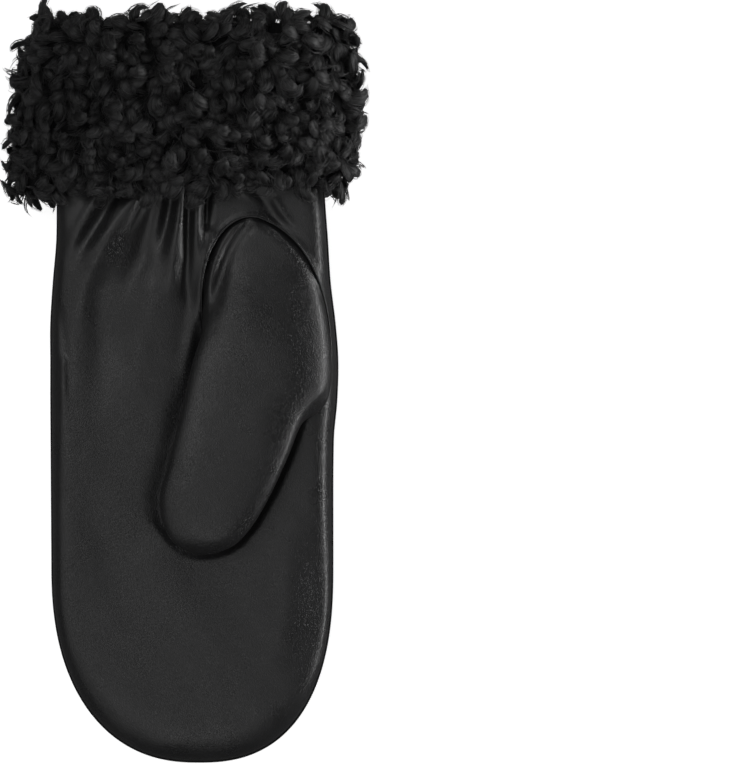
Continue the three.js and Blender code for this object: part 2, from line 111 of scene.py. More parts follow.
# Folds of the palm. Each runs from its start through a bend to its end and fades out there.
# A height below zero is a valley. The first ones follow the solid's gathers.
GATHERS = table(
    "start bend end height width",
    ((-30.8, 72), (-40.0, 57.5), (-46.5, 44), 1.5, 4.6),
    ((-24.0, 72), (-34.0, 57.5), (-45.0, 42), -1.9, 4.6),
    ((-14.5, 74), (-34.0, 46.5), (-42.0, 12), 2.0, 7.4),
    ((-14.0, 70), (-32.0, 46.0), (-41.0, 4), 1.6, 11.0),
    ((-12.6, 74), (-17.3, 64.0), (-23.0, 54), -1.8, 2.6),
    ((-9.0, 68), (-17.5, 44.5), (-33.0, 20), -2.3, 7.5),
    ((-7.0, 74), (-10.5, 60.0), (-14.5, 46), 2.2, 3.6),
    ((-4.0, 74), (-6.5, 58.0), (-11.0, 42), -2.0, 3.6),
    ((-0.6, 76), (-3.2, 54.0), (-6.4, 27), 3.0, 5.2),
    ((2.2, 76), (1.6, 52.0), (0.8, 28), -2.5, 2.4),
    ((6.0, 76), (4.7, 57.0), (4.4, 31), 2.7, 4.0),
    ((9.6, 76), (8.4, 62.0), (7.4, 49), -2.6, 2.3),
    ((9.0, 56), (3.6, 20.0), (-4.6, -16), 1.7, 4.2),
    ((27.0, 72), (36.0, 60.0), (46.0, 47), -1.5, 5.0),
)
FINE_FOLDS = table(
    "start bend end height width",
    ((-21.6, 76), (-26.0, 66.0), (-33.0, 57), 1.0, 2.0),
    ((1.3, 76), (1.0, 58.0), (0.9, 37), -0.9, 1.2),
    ((8.6, 76), (8.2, 63.0), (7.4, 52), -0.8, 1.1),
    ((-1.0, 44), (1.2, 33.0), (3.0, 22), -0.7, 3.4),
    ((34.6, 68), (38.5, 62.0), (44.0, 56), 0.9, 2.6),
    ((20.0, 74), (27.0, 68.5), (33.0, 65), 0.6, 2.2),
    ((-36.0, 40), (-33.0, 12.0), (-35.0, -20), -0.3, 7.0),
    ((-12.0, 34), (-17.0, 12.0), (-16.0, -14), 0.6, 7.0),
    ((-46.2, 8), (-46.6, -6.0), (-46.0, -26), 0.7, 2.6),
    ((-48.0, 27), (-45.0, 8.0), (-43.6, -8), -0.6, 3.2),
    ((-4.0, 46), (-11.0, 15.0), (-13.0, -40), 2.6, 24.0),
    ((-32.0, 34), (-30.0, 8.0), (-38.0, -28), -0.9, 11.0),
    ((-10.0, -70), (6.0, -90.0), (20.0, -112), 0.9, 16.0),
    ((-34.0, -50), (-24.0, -78.0), (-10.0, -104), -0.7, 14.0),
)
GATHERS_FADE_FROM_Y = 72.0
GATHERS_FADE_TO_Y = 84.0

# The thumb, from its root in the palm to its tip
THUMB_SECTIONS = table(
    "lx ly rx ry top_lean low_lean low high",
    (6.8, 31.2, 55.3, 11.4, 40.3, -27.4, 22.0, 22.0),
    (6.8, 23.6, 55.9, 6.1, 32.7, -22.0, 22.9, 27.0),
    (6.8, 14.8, 55.1, -1.5, 23.7, -15.8, 23.1, 31.5),
    (3.0, 3.8, 52.1, -6.8, 13.7, -10.7, 21.4, 35.0),
    (0.0, -7.6, 44.8, -14.8, 5.1, -5.1, 21.4, 37.0),
    (-3.4, -20.5, 39.5, -27.7, 1.0, -2.0, 21.4, 37.8),
    (-6.5, -32.7, 33.1, -41.8, 0.0, 0.0, 21.4, 37.6),
    (-9.1, -42.9, 26.5, -53.4, 0.0, 0.0, 21.5, 36.8),
    (-8.3, -52.3, 20.4, -60.6, 0.0, 0.0, 22.6, 35.6),
    (-4.9, -59.4, 15.8, -63.3, 0.0, 0.0, 24.6, 34.0),
    (0.2, -63.6, 11.6, -64.7, 0.0, 0.0, 28.2, 31.8),
    (4.9, -65.1, 7.5, -65.2, 0.0, 0.0, 29.6, 30.4),
)
THUMB_STATIONS = 10
THUMB_SIDES = 112
THUMB_RINGS = 116
THUMB_END_SHARE = 1.1
THUMB_FOLDS = table(
    "start bend end height width fade",
    ((18.8, 61.8), (8.2, 45.0), (5.6, 14.0), -1.6, 1.5, 0.8),
    ((20.6, 60.2), (11.2, 43.5), (7.4, 14.0), 1.4, 2.4, 0.45),
    ((24.0, 59.0), (15.0, 43.5), (11.4, 14.0), -1.2, 3.6, 0.5),
)
THUMB_ROUNDNESS = 2.5
THUMB_SEAM_ROUNDNESS = 1.75  # the same at the seam beside the palm's middle
THUMB_TOP_FLATNESS = 0.68  # the lower, the flatter the thumb's top is up to its sides
THUMB_SIDE_LEAN = -0.047
THUMB_ROOT_DROP = 1.0
THUMB_HOLE_GAP = 0.35
THUMB_LIFT = 0.7
THUMB_RISE_SHARE = 0.012
THUMB_INNER_REACH = 0.955
THUMB_TUCK = 1.5  # how far the leather lies under the palm's edge at the seam
THUMB_TUCK_REACH = 5.0
THUMB_SOFTNESS = 3.0
THUMB_DENT = 1.5  # how deep the thumb lies in the palm, and how far that reaches out
DENT_REACH_LEFT = 7.0
DENT_REACH_RIGHT = 2.4
THUMB_AXIS_X = 23.4
THUMB_AXIS_LEAN = 0.263

# The stitched points on the back: the middle line of each, from the knuckles to the wrist
BACK_POINTS = table(
    "start end",
    ((-25.0, -49.4), (-11.8, 34.2)),
    ((2.7, -55.8), (3.0, 33.0)),
    ((29.7, -49.4), (17.0, 34.2)),
)

TUCK_RADIUS = 0.85
TUCK_PUCKER = 0.09  # how much a tuck swells between two stitches

# The cuff
CUFF_GAP = 0.5
CUFF_FLARE = 4.2
RIM_TUCK = -2.0  # the same at the mouth, where the rim reaches the leather's inner side
BACKING_SIDES = 168
BACKING_SINK = 1.2  # how deep the backing lies under the curls' surface
CUFF_SECTIONS = table(
    "y left right top",
    (142, -55.0, 59.0, 39.0),
    (120, -60.0, 62.2, 41.0),
    (98, -62.8, 63.0, 41.5),
    (70, -64.8, 60.5, 41.0),
)
CUFF_ROUNDNESS = 2.7
CURL_STEPS = 7
CURL_ROOT = 2.0  # how deep the curls start in the backing
CURL_DEPTH = 0.42  # a curl's thickness as a share of its width
PAINTED_SHADE_AND_HIGHLIGHT_ALONG = [0.1, 0.35, 0.7, 0.95, 1.05, 1.2, 1.45]  # painted shade at each curl's root and a painted highlight at its rim
CURL_SHAPE = dict(length=1.0, width=1.0, first=(-0.4, 0.6), last=(1.6, 3.6), bend=0.9)
CURL_TAPER = [0.4, 0.7, 0.95, 1.08, 1.05, 0.85, 0.4]
CURLED_SHARE = 0.45  # how many curls lie down and curl sideways
CURLS_SEED = 41
FIBRES_ROUND_STRAND = 5.0
FIBRES_ROUND_CORE = 34.0
TUFT_SHAPE = dict(length=1.1, width=0.42, first=(-0.3, 0.5), last=(0.9, 3.6), bend=1.4)
TUFT_TAPER = [0.8, 1.0, 1.0, 0.85, 0.6, 0.35, 0.08]
TUFTS_SEED = 97
TUFT_STRANDS = 7
MOUTH_CURLS_T = -0.86  # curls above this may lean out over the mouth
CURLS_TOP_Y = 137.4
CURLS_LOW_Y = 72.6
CURLS_ASLANT = 2.4  # how far the edge over the hand is tilted at its ends

# The photograph's frame, in the frame of the solids
PHOTO_MIDDLE = (70.3, -3.8)
PHOTO_HEIGHT = 297.9
PHOTO_PLANE_Z = 15.0
LIGHTS_AIM = (4.0, -10.0, 15.0)
FLOOR_HALF = 1800.0
FLOOR_Z = -0.3


# Settings
def length_setting(name, description, default):
    """A length in metres."""
    return FloatProperty(name=name, description=description, default=default, unit="LENGTH")


def power_setting(name, description, default):
    """A light's power in watts."""
    return FloatProperty(name=name, description=description, default=default, unit="POWER")


def share_setting(name, description, default):
    """A share from 0 to 1."""
    return FloatProperty(
        name=name, description=description, default=default, subtype="FACTOR", min=0.0, max=1.0)


def color_setting(name, description, default):
    """A colour."""
    return FloatVectorProperty(
        name=name, description=description, default=default, subtype="COLOR", size=3)


class MITTEN_PG_leather(bpy.types.PropertyGroup):
    """Sizes and finish of the leather."""

    wall: length_setting("Wall", "Leather and lining together", 0.002)
    thumb_wall: length_setting("Thumb Wall", "The thumb's leather", 0.0016)
    palm_step: length_setting("Palm Step", "Size of the palm's faces", 0.0008)
    back_step: length_setting("Back Step", "Size of the back's faces", 0.0017)
    color: color_setting("Colour", "The leather's dye", (0.0165, 0.0165, 0.017))
    roughness: share_setting("Roughness", "How satin the leather's finish is", 0.3)
    grain: length_setting("Grain", "Width of the leather's pebbles", 0.0006)


class MITTEN_PG_stitches(bpy.types.PropertyGroup):
    """Sizes of the points' stitches."""

    pitch: length_setting("Pitch", "From one stitch to the next", 0.0022)
    length: length_setting("Length", "Length of one stitch", 0.0016)
    radius: length_setting("Radius", "Half the thread's thickness", 0.00024)
    spread: length_setting("Spread", "From row to row of a point", 0.0026)
    color: color_setting("Colour", "The thread's dye", (0.02, 0.02, 0.021))


class MITTEN_PG_cuff(bpy.types.PropertyGroup):
    """Sizes and finish of the shearling."""

    lock_pitch: length_setting("Lock Pitch", "From one curl to the next", 0.0043)
    lock_length: length_setting("Lock Length", "Length of a curl's wool", 0.0098)
    lock_width: length_setting("Lock Width", "Half a curl's width", 0.0024)
    strands: IntProperty(
        name="Strands", description="Strands in one curl", default=12, min=3)
    tufts: IntProperty(
        name="Tufts", description="Loose tufts over the whole cuff", default=240, min=0)
    color: color_setting("Colour", "The wool's dye", (0.02, 0.02, 0.0206))
    roughness: share_setting("Roughness", "How dull the wool is", 0.5)


class MITTEN_PG_stage(bpy.types.PropertyGroup):
    """The floor, the lights and the camera."""

    floor_color: color_setting("Floor", "The floor's colour", (0.9, 0.9, 0.9))
    side_light: power_setting("Side Light", "Power of the softbox at the right", 4.3)
    top_light: power_setting("Top Light", "Power of the softbox above", 37.0)
    front_light: power_setting("Front Light", "Power of the softbox in front", 4.5)
    left_light: power_setting("Left Light", "Power of the softbox at the left", 11.5)
    lens: FloatProperty(
        name="Lens", description="Focal length in millimetres", default=300.0)


# Curves and steps
def along(table, at, key, column):
    """A smooth curve through one column of a table, at values of its key column."""
    rows = sorted(table, key=lambda row: row[key])
    keys = np.array([row[key] for row in rows], float)
    values = np.array([row[column] for row in rows], float)
    last = len(rows) - 1
    before = np.maximum(np.arange(last + 1) - 1, 0)
    after = np.minimum(np.arange(last + 1) + 1, last)
    slopes = (values[after] - values[before]) / (keys[after] - keys[before])
    i = np.clip(np.searchsorted(keys, at, side="right") - 1, 0, last - 1)
    span = keys[i + 1] - keys[i]
    t = np.clip((at - keys[i]) / span, 0, 1)
    return (
        (2 * t**3 - 3 * t**2 + 1) * values[i]
        + (t**3 - 2 * t**2 + t) * span * slopes[i]
        + (3 * t**2 - 2 * t**3) * values[i + 1]
        + (t**3 - t**2) * span * slopes[i + 1]
    )


def smooth(value, start, end):
    """0 before start, 1 after end, and a smooth rise between them."""
    t = np.clip((value - start) / (end - start), 0, 1)
    return t * t * (3 - 2 * t)


def rounded(value, power):
    """A sine or cosine bent to a superellipse of that power."""
    return np.sign(value) * np.abs(value) ** (2 / power)


def unit(vectors):
    """Vectors of length 1."""
    return vectors / np.maximum(np.linalg.norm(vectors, axis=-1, keepdims=True), 1e-9)


# The hand's plan
def hand_middle(y):
    """The middle of the hand's plan at y."""
    at = np.maximum(y, TIP_START_Y)
    middle = (along(HAND_EDGES, at, "y", "left") + along(HAND_EDGES, at, "y", "right")) / 2
    past = np.maximum(0, (TIP_START_Y - y) / TIP_LENGTH)
    return middle + TIP_LEAN * past * past


def hand_half_width(y):
    """Half the hand's width at y."""
    at = np.maximum(y, TIP_START_Y)
    return (along(HAND_EDGES, at, "y", "right") - along(HAND_EDGES, at, "y", "left")) / 2


def outwardness(x, y):
    """0 on the hand's middle line and 1 on its outline."""
    across = np.abs(x - hand_middle(y)) / hand_half_width(y)
    past = np.maximum(0, (TIP_START_Y - y) / TIP_LENGTH)
    return (across**TIP_ROUNDNESS + past**TIP_ROUNDNESS) ** (1 / TIP_ROUNDNESS)


def plan_grid(step, hidden_step):
    """The plan's grid of x and y: rows along the hand, then rows bent round the fingertip."""
    wide = hand_half_width(TIP_START_Y)
    flat_share = 0.9
    flat = np.linspace(0, flat_share, int(flat_share * wide / step) + 1)
    edge_count = int(12 * 0.8 / (step + 0.001)) if step > 1.0 else 12
    turn = np.sin(np.linspace(0, math.pi / 2, edge_count + 1)[1:])
    half = np.concatenate([flat, flat_share + (1 - flat_share) * turn])
    u = np.concatenate([-half[:0:-1], half])
    hidden = np.arange(MOUTH_Y, GATHERS_FADE_TO_Y, -hidden_step)
    rows = int((GATHERS_FADE_TO_Y - TIP_START_Y) / step)
    shown = np.linspace(GATHERS_FADE_TO_Y, TIP_START_Y, rows)
    straight = np.concatenate([hidden, shown])
    straight_x = hand_middle(straight)[:, None] + hand_half_width(straight)[:, None] * u[None, :]
    straight_y = np.repeat(straight[:, None], len(u), axis=1)
    tip_count = int(TIP_LENGTH * 1.2 / step)
    v = np.sin(np.linspace(0, math.pi / 2, tip_count + 1)[1:])[:, None]
    across = u[None, :] * np.sqrt(1 - v * v / 2)
    down = v * np.sqrt(1 - u[None, :] ** 2 / 2)
    reach = np.hypot(across, down)
    power = ((np.abs(across) / reach) ** TIP_ROUNDNESS + (down / reach) ** TIP_ROUNDNESS) ** (
        -1 / TIP_ROUNDNESS
    )
    tip_y = TIP_START_Y - TIP_LENGTH * power * down
    tip_x = hand_middle(tip_y) + wide * power * across
    return np.concatenate([straight_x, tip_x]), np.concatenate([straight_y, tip_y])


# The hand's heights
def underside(y):
    """The height of the hand's lowest leather over the ground."""
    return WRIST_LIFT * smooth(y, WRIST_LIFT_FROM_Y, WRIST_LIFT_TO_Y)


def seam_z(y):
    """The height of the seam round the hand."""
    return underside(y) + SEAM_HEIGHT


def palm_crown(y):
    """How far the palm's middle stands over the seam."""
    return along(HAND_THICKNESS, y, "y", "thick") - SEAM_HEIGHT


def palm_profile(e):
    """The palm's height from its middle, 1, to the seam, 0."""
    return np.maximum(0, 1 - e**PALM_FLATNESS) ** (1 / PALM_EDGE_ROUNDNESS)


def back_profile(e):
    """The back's depth from its flat middle, 1, to the seam, 0."""
    past = np.maximum(0, (e - BACK_FLAT_SHARE) / (1 - BACK_FLAT_SHARE))
    return np.maximum(0, 1 - past**2.2) ** (1 / 2.2)


def fold_height(fold, x, y):
    """The height that one fold adds at x and y."""
    start, middle, end = (np.array(fold[key], float) for key in ("start", "bend", "end"))
    bend = 2 * middle - (start + end) / 2
    t = np.linspace(0, 1, 13)[:, None]
    line = (1 - t) ** 2 * start + 2 * t * (1 - t) * bend + t * t * end
    nearest = np.full(np.shape(x), np.inf)
    where = np.zeros(np.shape(x))
    for k in range(len(line) - 1):
        leg = line[k + 1] - line[k]
        share = ((x - line[k][0]) * leg[0] + (y - line[k][1]) * leg[1]) / (leg @ leg)
        share = np.clip(share, 0, 1)
        far = np.hypot(x - line[k][0] - share * leg[0], y - line[k][1] - share * leg[1])
        closer = far < nearest
        nearest = np.where(closer, far, nearest)
        where = np.where(closer, (k + share) / (len(line) - 1), where)
    across = np.exp(-((nearest / (fold["width"] * FOLD_SPREAD)) ** 2))
    return fold["height"] * across * (1 - smooth(where, fold.get("fade", 0.35), 1))


def gathers_at(x, y, e, folds):
    """The height that all folds add, faded out under the cuff and at the seam."""
    total = sum(fold_height(fold, x, y) for fold in folds)
    under_cuff = 1 - smooth(y, GATHERS_FADE_FROM_Y, GATHERS_FADE_TO_Y)
    return total * under_cuff * (1 - smooth(e, 0.88, 1))


def thumb_dent(x, y, e):
    """How far the palm is pressed in under the thumb and beside it."""
    left = [(row["lx"], row["ly"]) for row in THUMB_SECTIONS]
    right = [(row["rx"], row["ry"]) for row in THUMB_SECTIONS]
    inside, _ = outline_distance(x, y, np.array(left + right[::-1]))
    out = np.maximum(-inside, 0)
    leftward = smooth(THUMB_AXIS_X + THUMB_AXIS_LEAN * y - x, -9, 9)
    wider = leftward * (1 - smooth(-y, 46, 62))
    reach = FOLD_SPREAD * (DENT_REACH_RIGHT + (DENT_REACH_LEFT - DENT_REACH_RIGHT) * wider)
    fading = (1 - smooth(y, 14, 34)) * (1 - smooth(x, 38, 50)) * (1 - smooth(e, 0.8, 0.95))
    return THUMB_DENT * np.exp(-((out / reach) ** 2)) * fading


def palm_height(x, y, folds):
    """The palm's outer surface."""
    e = outwardness(x, y)
    low_right = smooth(y, -128, -100) * (1 - smooth(y, -80, -35)) * smooth(x, 0, 30)
    power = 1 + SHARP_EDGE * low_right - SOFT_TIP * (1 - smooth(y, -132, -84))
    dip = 1 - RIM_DIP * low_right * smooth(e, 0.66, 1.0)
    plain = seam_z(y) + palm_crown(y) * palm_profile(e**power) * dip
    return plain + gathers_at(x, y, e, folds) - thumb_dent(x, y, e)


def soft_waves(x, y):
    """The slight unevenness of lined leather, in millimetres."""
    return (
        0.16 * np.sin(x / 7.3 + 1.1 * np.sin(y / 17.0)) * np.sin(y / 9.7 + 0.8)
        + 0.22 * np.sin(x / 15.1 + y / 21.0 + 0.6) * np.sin(y / 18.3 - x / 29.0)
        + 0.05 * np.sin(x / 2.9 + 2.0 * np.sin(y / 8.0)) * np.sin(y / 3.7 + x / 11.0)
    )


def outline_direction(x, y):
    """The level direction in which outwardness grows."""
    step = 0.01
    wide_x = (outwardness(x + step, y) - outwardness(x - step, y)) / (2 * step)
    wide_y = (outwardness(x, y + step) - outwardness(x, y - step)) / (2 * step)
    return np.stack([wide_x, wide_y, np.zeros(np.shape(x))], axis=-1)


def facing(x, y, crown, profile, up):
    """Which way a leather faces at x and y, from its profile's slope there."""
    e = outwardness(x, y)
    wide = outline_direction(x, y)
    near = 0.004
    ahead = np.minimum(e + near, 1)
    fall = (profile(np.maximum(e - near, 0)) - profile(ahead)) / (ahead - e + near)
    slope = wide * (crown * fall)[..., None]
    slope[..., 2] = up
    return np.where((e > 0.9995)[..., None], unit(wide), unit(slope))


# Meshes
def quads_of(rows, columns):
    """The faces of a grid of points, as rows of four point numbers."""
    r, c = np.meshgrid(np.arange(rows - 1), np.arange(columns - 1), indexing="ij")
    a = r * columns + c
    return np.stack([a, a + columns, a + columns + 1, a + 1], axis=-1).reshape(-1, 4)


def make_piece(name, points, faces, finish, uvs=None, tones=None):
    """A smooth mesh object from points in millimetres and faces of four points each.

    A face that names its last point twice is a triangle.
    """
    mesh = bpy.data.meshes.new(name)
    mesh.vertices.add(len(points))
    mesh.vertices.foreach_set("co", (points * MM).astype(np.float32).ravel())
    corner_counts = np.where(faces[:, 2] == faces[:, 3], 3, 4)
    kept = np.ones(faces.shape, bool)
    kept[:, 3] = corner_counts == 4
    corners = faces[kept]
    mesh.loops.add(len(corners))
    mesh.loops.foreach_set("vertex_index", corners.astype(np.int32))
    mesh.polygons.add(len(faces))
    starts = np.concatenate([[0], np.cumsum(corner_counts)[:-1]])
    mesh.polygons.foreach_set("loop_start", starts.astype(np.int32))
    mesh.update(calc_edges=True)
    mesh.validate()
    if uvs is not None:
        layer = mesh.uv_layers.new(name="UVMap")
        layer.data.foreach_set("uv", uvs[corners].astype(np.float32).ravel())
    if tones is not None:
        layer = mesh.attributes.new("tone", "FLOAT", "POINT")
        layer.data.foreach_set("value", tones.astype(np.float32))
    turned = bmesh.new()
    turned.from_mesh(mesh)
    bmesh.ops.recalc_face_normals(turned, faces=turned.faces)
    turned.to_mesh(mesh)
    turned.free()
    mesh.shade_smooth()
    mesh.materials.append(finish)
    piece = bpy.data.objects.new(name, mesh)
    bpy.context.scene.collection.objects.link(piece)
    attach(piece, "root")
    return piece


def walls_between(faces, count):
    """Faces that join each open edge of a sheet to the same edge of its other side."""
    starts = faces.ravel()
    ends = np.roll(faces, -1, axis=1).ravel()
    forward = starts.astype(np.int64) * count + ends
    backward = ends.astype(np.int64) * count + starts
    is_open = ~np.isin(forward, backward)
    a, b = starts[is_open], ends[is_open]
    return np.stack([b, a, a + count, b + count], axis=-1)


def two_sided(outer, inner, faces):
    """A closed sheet: its outer side, its inner side and the walls between them."""
    count = len(outer)
    points = np.concatenate([outer, inner])
    every = np.concatenate([faces, faces[:, ::-1] + count, walls_between(faces, count)])
    used, renumbered = np.unique(every, return_inverse=True)
    return points[used], renumbered.reshape(every.shape)


def outline_distance(x, y, outline):
    """Distance to a closed outline, over zero inside it, and the nearest point on it."""
    far = np.full(x.shape, np.inf)
    nearest = np.stack([x, y], axis=-1)
    inside = np.zeros(x.shape, bool)
    following = np.roll(outline, -1, axis=0)
    for (px, py), (qx, qy) in zip(outline, following):
        leg = np.array([qx - px, qy - py])
        share = np.clip(((x - px) * leg[0] + (y - py) * leg[1]) / (leg @ leg), 0, 1)
        nx, ny = px + share * leg[0], py + share * leg[1]
        distance = np.hypot(x - nx, y - ny)
        closer = distance < far
        far = np.where(closer, distance, far)
        nearest[closer] = np.stack([nx, ny], axis=-1)[closer]
        if py != qy:
            crosses = ((py > y) != (qy > y)) & (x < (qx - px) * (y - py) / (qy - py) + px)
            inside ^= crosses
    return np.where(inside, far, -far), nearest


# The thumb
def thumb_tube(shares, angles, inset):
    """The thumb's points before they are fitted to the palm, and how high each is on its ring."""
    rows = [dict(row, station=k) for k, row in enumerate(THUMB_SECTIONS)]
    station = shares * THUMB_STATIONS
    value = {key: along(rows, station, "station", key) for key in THUMB_SECTIONS[0]}
    flat = np.zeros_like(station)
    left = np.stack([value["lx"], value["ly"], flat], axis=-1)
    right = np.stack([value["rx"], value["ry"], flat], axis=-1)
    middle = (left + right) / 2
    middle[:, 2] = (value["low"] + value["high"]) / 2
    half = (value["high"] - value["low"]) / 2
    top = np.stack([THUMB_SIDE_LEAN * value["top_lean"], value["top_lean"], half], axis=-1)
    low = np.stack([-THUMB_SIDE_LEAN * value["low_lean"], value["low_lean"], -half], axis=-1)

    def shortened(arm):
        length = np.linalg.norm(arm, axis=-1, keepdims=True)
        return arm * np.maximum(length - inset, 0.3) / np.maximum(length, 1e-6)

    side = shortened((right - left) / 2)
    at_seam = (1 - smooth(shares, 0.1, 0.4))[:, None, None]
    inward = ((np.cos(angles) < 0) & (np.sin(angles) > 0))[None, :, None]
    power = THUMB_ROUNDNESS + (THUMB_SEAM_ROUNDNESS - THUMB_ROUNDNESS) * at_seam * inward
    c = rounded(np.cos(angles)[None, :, None], power)
    s = rounded(np.sin(angles)[None, :, None], power)
    arm = np.where(s > 0, shortened(top)[:, None, :], shortened(low)[:, None, :])
    level = np.abs(s) * np.array([1, 1, 0])
    upright = np.where(s > 0, np.abs(s) ** THUMB_TOP_FLATNESS, np.abs(s)) * np.array([0, 0, 1])
    points = middle[:, None, :] + side[:, None, :] * c + arm * (level + upright)
    return points, np.broadcast_to(s[..., 0], points.shape[:2])


def thumb_hole():
    """The outline of the thumb's hole in the palm."""
    angles = np.linspace(0, 2 * math.pi, 181)[:-1]
    points, _ = thumb_tube(np.array([0.0]), angles, -THUMB_HOLE_GAP)
    return points[0, :, :2]


def thumb_surface(shares, angles, inset, folds):
    """The thumb's points, a row for each share of its length.

    At its seam it lies in under the palm's edge, and from there on it lies over the palm.
    """
    points, s = thumb_tube(shares, angles, inset)
    x, y = points[..., 0], points[..., 1]
    share = shares[:, None]
    palm = palm_height(x, y, GATHERS)
    at_seam, _ = outline_distance(x, y, thumb_hole())
    tucked = (1 - smooth(at_seam, 0.5, THUMB_TUCK_REACH)) * (1 - smooth(share, 0.12, 0.25))
    tucked = tucked * smooth(s, -0.35, 0)
    upper = smooth(s, -0.2, 0.2)
    limit = palm + THUMB_LIFT - THUMB_TUCK * tucked + inset * (1 - 2 * upper)
    raised = points[..., 2]
    bend = THUMB_SOFTNESS * upper
    clear = (raised + limit + np.sqrt((raised - limit) ** 2 + bend**2)) / 2
    for fold in folds:
        clear = clear + fold_height(fold, x, y) * smooth(s, 0.1, 0.5)
    risen = smooth(shares, 0, THUMB_RISE_SHARE)[:, None]
    points[..., 2] = (1 - risen) * (palm - THUMB_ROOT_DROP) + risen * clear
    return points


# Finishes
def new_finish(name):
    """A material with its tree and its shader."""
    material = bpy.data.materials.new(name)
    material.use_nodes = True
    tree = material.node_tree
    return material, tree, tree.nodes["Principled BSDF"]


def add_node(tree, kind, links=(), **values):
    """A node with its inputs set, and linked from other nodes' outputs."""
    made = tree.nodes.new(kind)
    for key, value in values.items():
        if hasattr(made, key):
            setattr(made, key, value)
        else:
            made.inputs[key.replace("_", " ")].default_value = value
    for output, socket in links:
        tree.links.new(output, made.inputs[socket])
    return made


def bumped(tree, height, strength, distance, under=None):
    """A surface raised by a height, over the bumps of another one."""
    links = [(height, "Height")]
    if under is not None:
        links.append((under, "Normal"))
    bump = add_node(tree, "ShaderNodeBump", links, Strength=strength, Distance=distance)
    return bump.outputs["Normal"]


def ranged(tree, value, source, target, **values):
    """A value carried over from its own range to another."""
    spread = add_node(
        tree, "ShaderNodeMapRange", [(value, "Value")], From_Min=source[0], From_Max=source[1],
        To_Min=target[0], To_Max=target[1], **values)
    return spread.outputs["Result"]


def dye_unevenly(tree, shader, blend, color, dark, light):
    """Blend the shader's colour between two shares of one dye."""
    dye = np.array(color)
    mix = add_node(tree, "ShaderNodeMix", [(blend, 0)], data_type="RGBA")
    mix.inputs[6].default_value = (*(dye * dark), 1)
    mix.inputs[7].default_value = (*(dye * light), 1)
    tree.links.new(mix.outputs[2], shader.inputs["Base Color"])


def vary_roughness(tree, shader, value, roughness, spread):
    """Let the roughness wander about its middle with a value."""
    target = (roughness - spread, roughness + spread)
    tree.links.new(ranged(tree, value, (0.3, 0.7), target), shader.inputs["Roughness"])


def leather_finish(settings):
    """Black satin leather: fine pebbles drawn out aslant, soft creases and an uneven sheen."""
    material, tree, shader = new_finish("satin_leather")
    place = add_node(tree, "ShaderNodeTexCoord").outputs["Object"]
    scale = 1 / settings.grain
    slant = add_node(
        tree, "ShaderNodeMapping", [(place, "Vector")],
        Rotation=(0, 0, math.radians(38)), Scale=(scale, scale * 0.6, scale))
    wander = add_node(
        tree, "ShaderNodeTexNoise", [(slant.outputs["Vector"], "Vector")], Scale=0.8, Detail=1.0)
    wandered = add_node(
        tree, "ShaderNodeVectorMath",
        [(slant.outputs["Vector"], 0), (wander.outputs["Color"], 1)], operation="ADD")
    pebbles = add_node(
        tree, "ShaderNodeTexVoronoi", [(wandered.outputs["Vector"], "Vector")],
        feature="DISTANCE_TO_EDGE", Scale=1.0, Randomness=1.0)
    pores = add_node(
        tree, "ShaderNodeTexNoise", [(place, "Vector")], Scale=2.1 * scale, Detail=2.0)
    creases = add_node(
        tree, "ShaderNodeTexNoise", [(slant.outputs["Vector"], "Vector")], Scale=0.42, Detail=3.0)
    patches = add_node(tree, "ShaderNodeTexNoise", [(place, "Vector")], Scale=62.0, Detail=3.0)
    domes = ranged(
        tree, pebbles.outputs["Distance"], (0.0, 0.2), (0.0, 1.0),
        interpolation_type="SMOOTHSTEP")
    fine = bumped(tree, pores.outputs["Fac"], 0.6, 0.00002)
    grained = bumped(tree, domes, 0.8, 0.000042, fine)
    creased = bumped(tree, creases.outputs["Fac"], 0.3, 0.0001, grained)
    tree.links.new(creased, shader.inputs["Normal"])
    dye_unevenly(tree, shader, patches.outputs["Fac"], settings.color, 0.8, 1.2)
    vary_roughness(tree, shader, patches.outputs["Fac"], settings.roughness, 0.05)
    return material


def wool_finish(settings, name, fibres_round):
    """Black wool: streaks of fine fibres along each curl, and each curl of its own tone, with
    painted shade at its root and a painted highlight at its rim.
    """
    material, tree, shader = new_finish(name)
    place = add_node(tree, "ShaderNodeTexCoord").outputs["UV"]
    drawn_out = add_node(
        tree, "ShaderNodeMapping", [(place, "Vector")], Scale=(fibres_round, 2.2, 1.0))
    fibres = add_node(
        tree, "ShaderNodeTexNoise", [(drawn_out.outputs["Vector"], "Vector")],
        Scale=1.0, Detail=3.0, Distortion=0.4)
    raised = bumped(tree, fibres.outputs["Fac"], 1.0, 0.00035)
    tree.links.new(raised, shader.inputs["Normal"])
    # The tone attribute holds each curl's own tone times painted shade at its root and a painted
    # highlight at its rim.
    tone = add_node(tree, "ShaderNodeAttribute", attribute_name="tone")
    streaks = ranged(tree, fibres.outputs["Fac"], (0.36, 0.64), (0.35, 1.5))
    streaked = add_node(
        tree, "ShaderNodeMath", [(tone.outputs["Fac"], 0), (streaks, 1)], operation="MULTIPLY")
    dye_unevenly(tree, shader, streaked.outputs[0], settings.color, 0.15, 2.6)
    vary_roughness(tree, shader, fibres.outputs["Fac"], settings.roughness, 0.12)
    shader.inputs["Specular IOR Level"].default_value = 0.6
    shader.inputs["Sheen Weight"].default_value = 0.1
    shader.inputs["Sheen Roughness"].default_value = 0.35
    return material


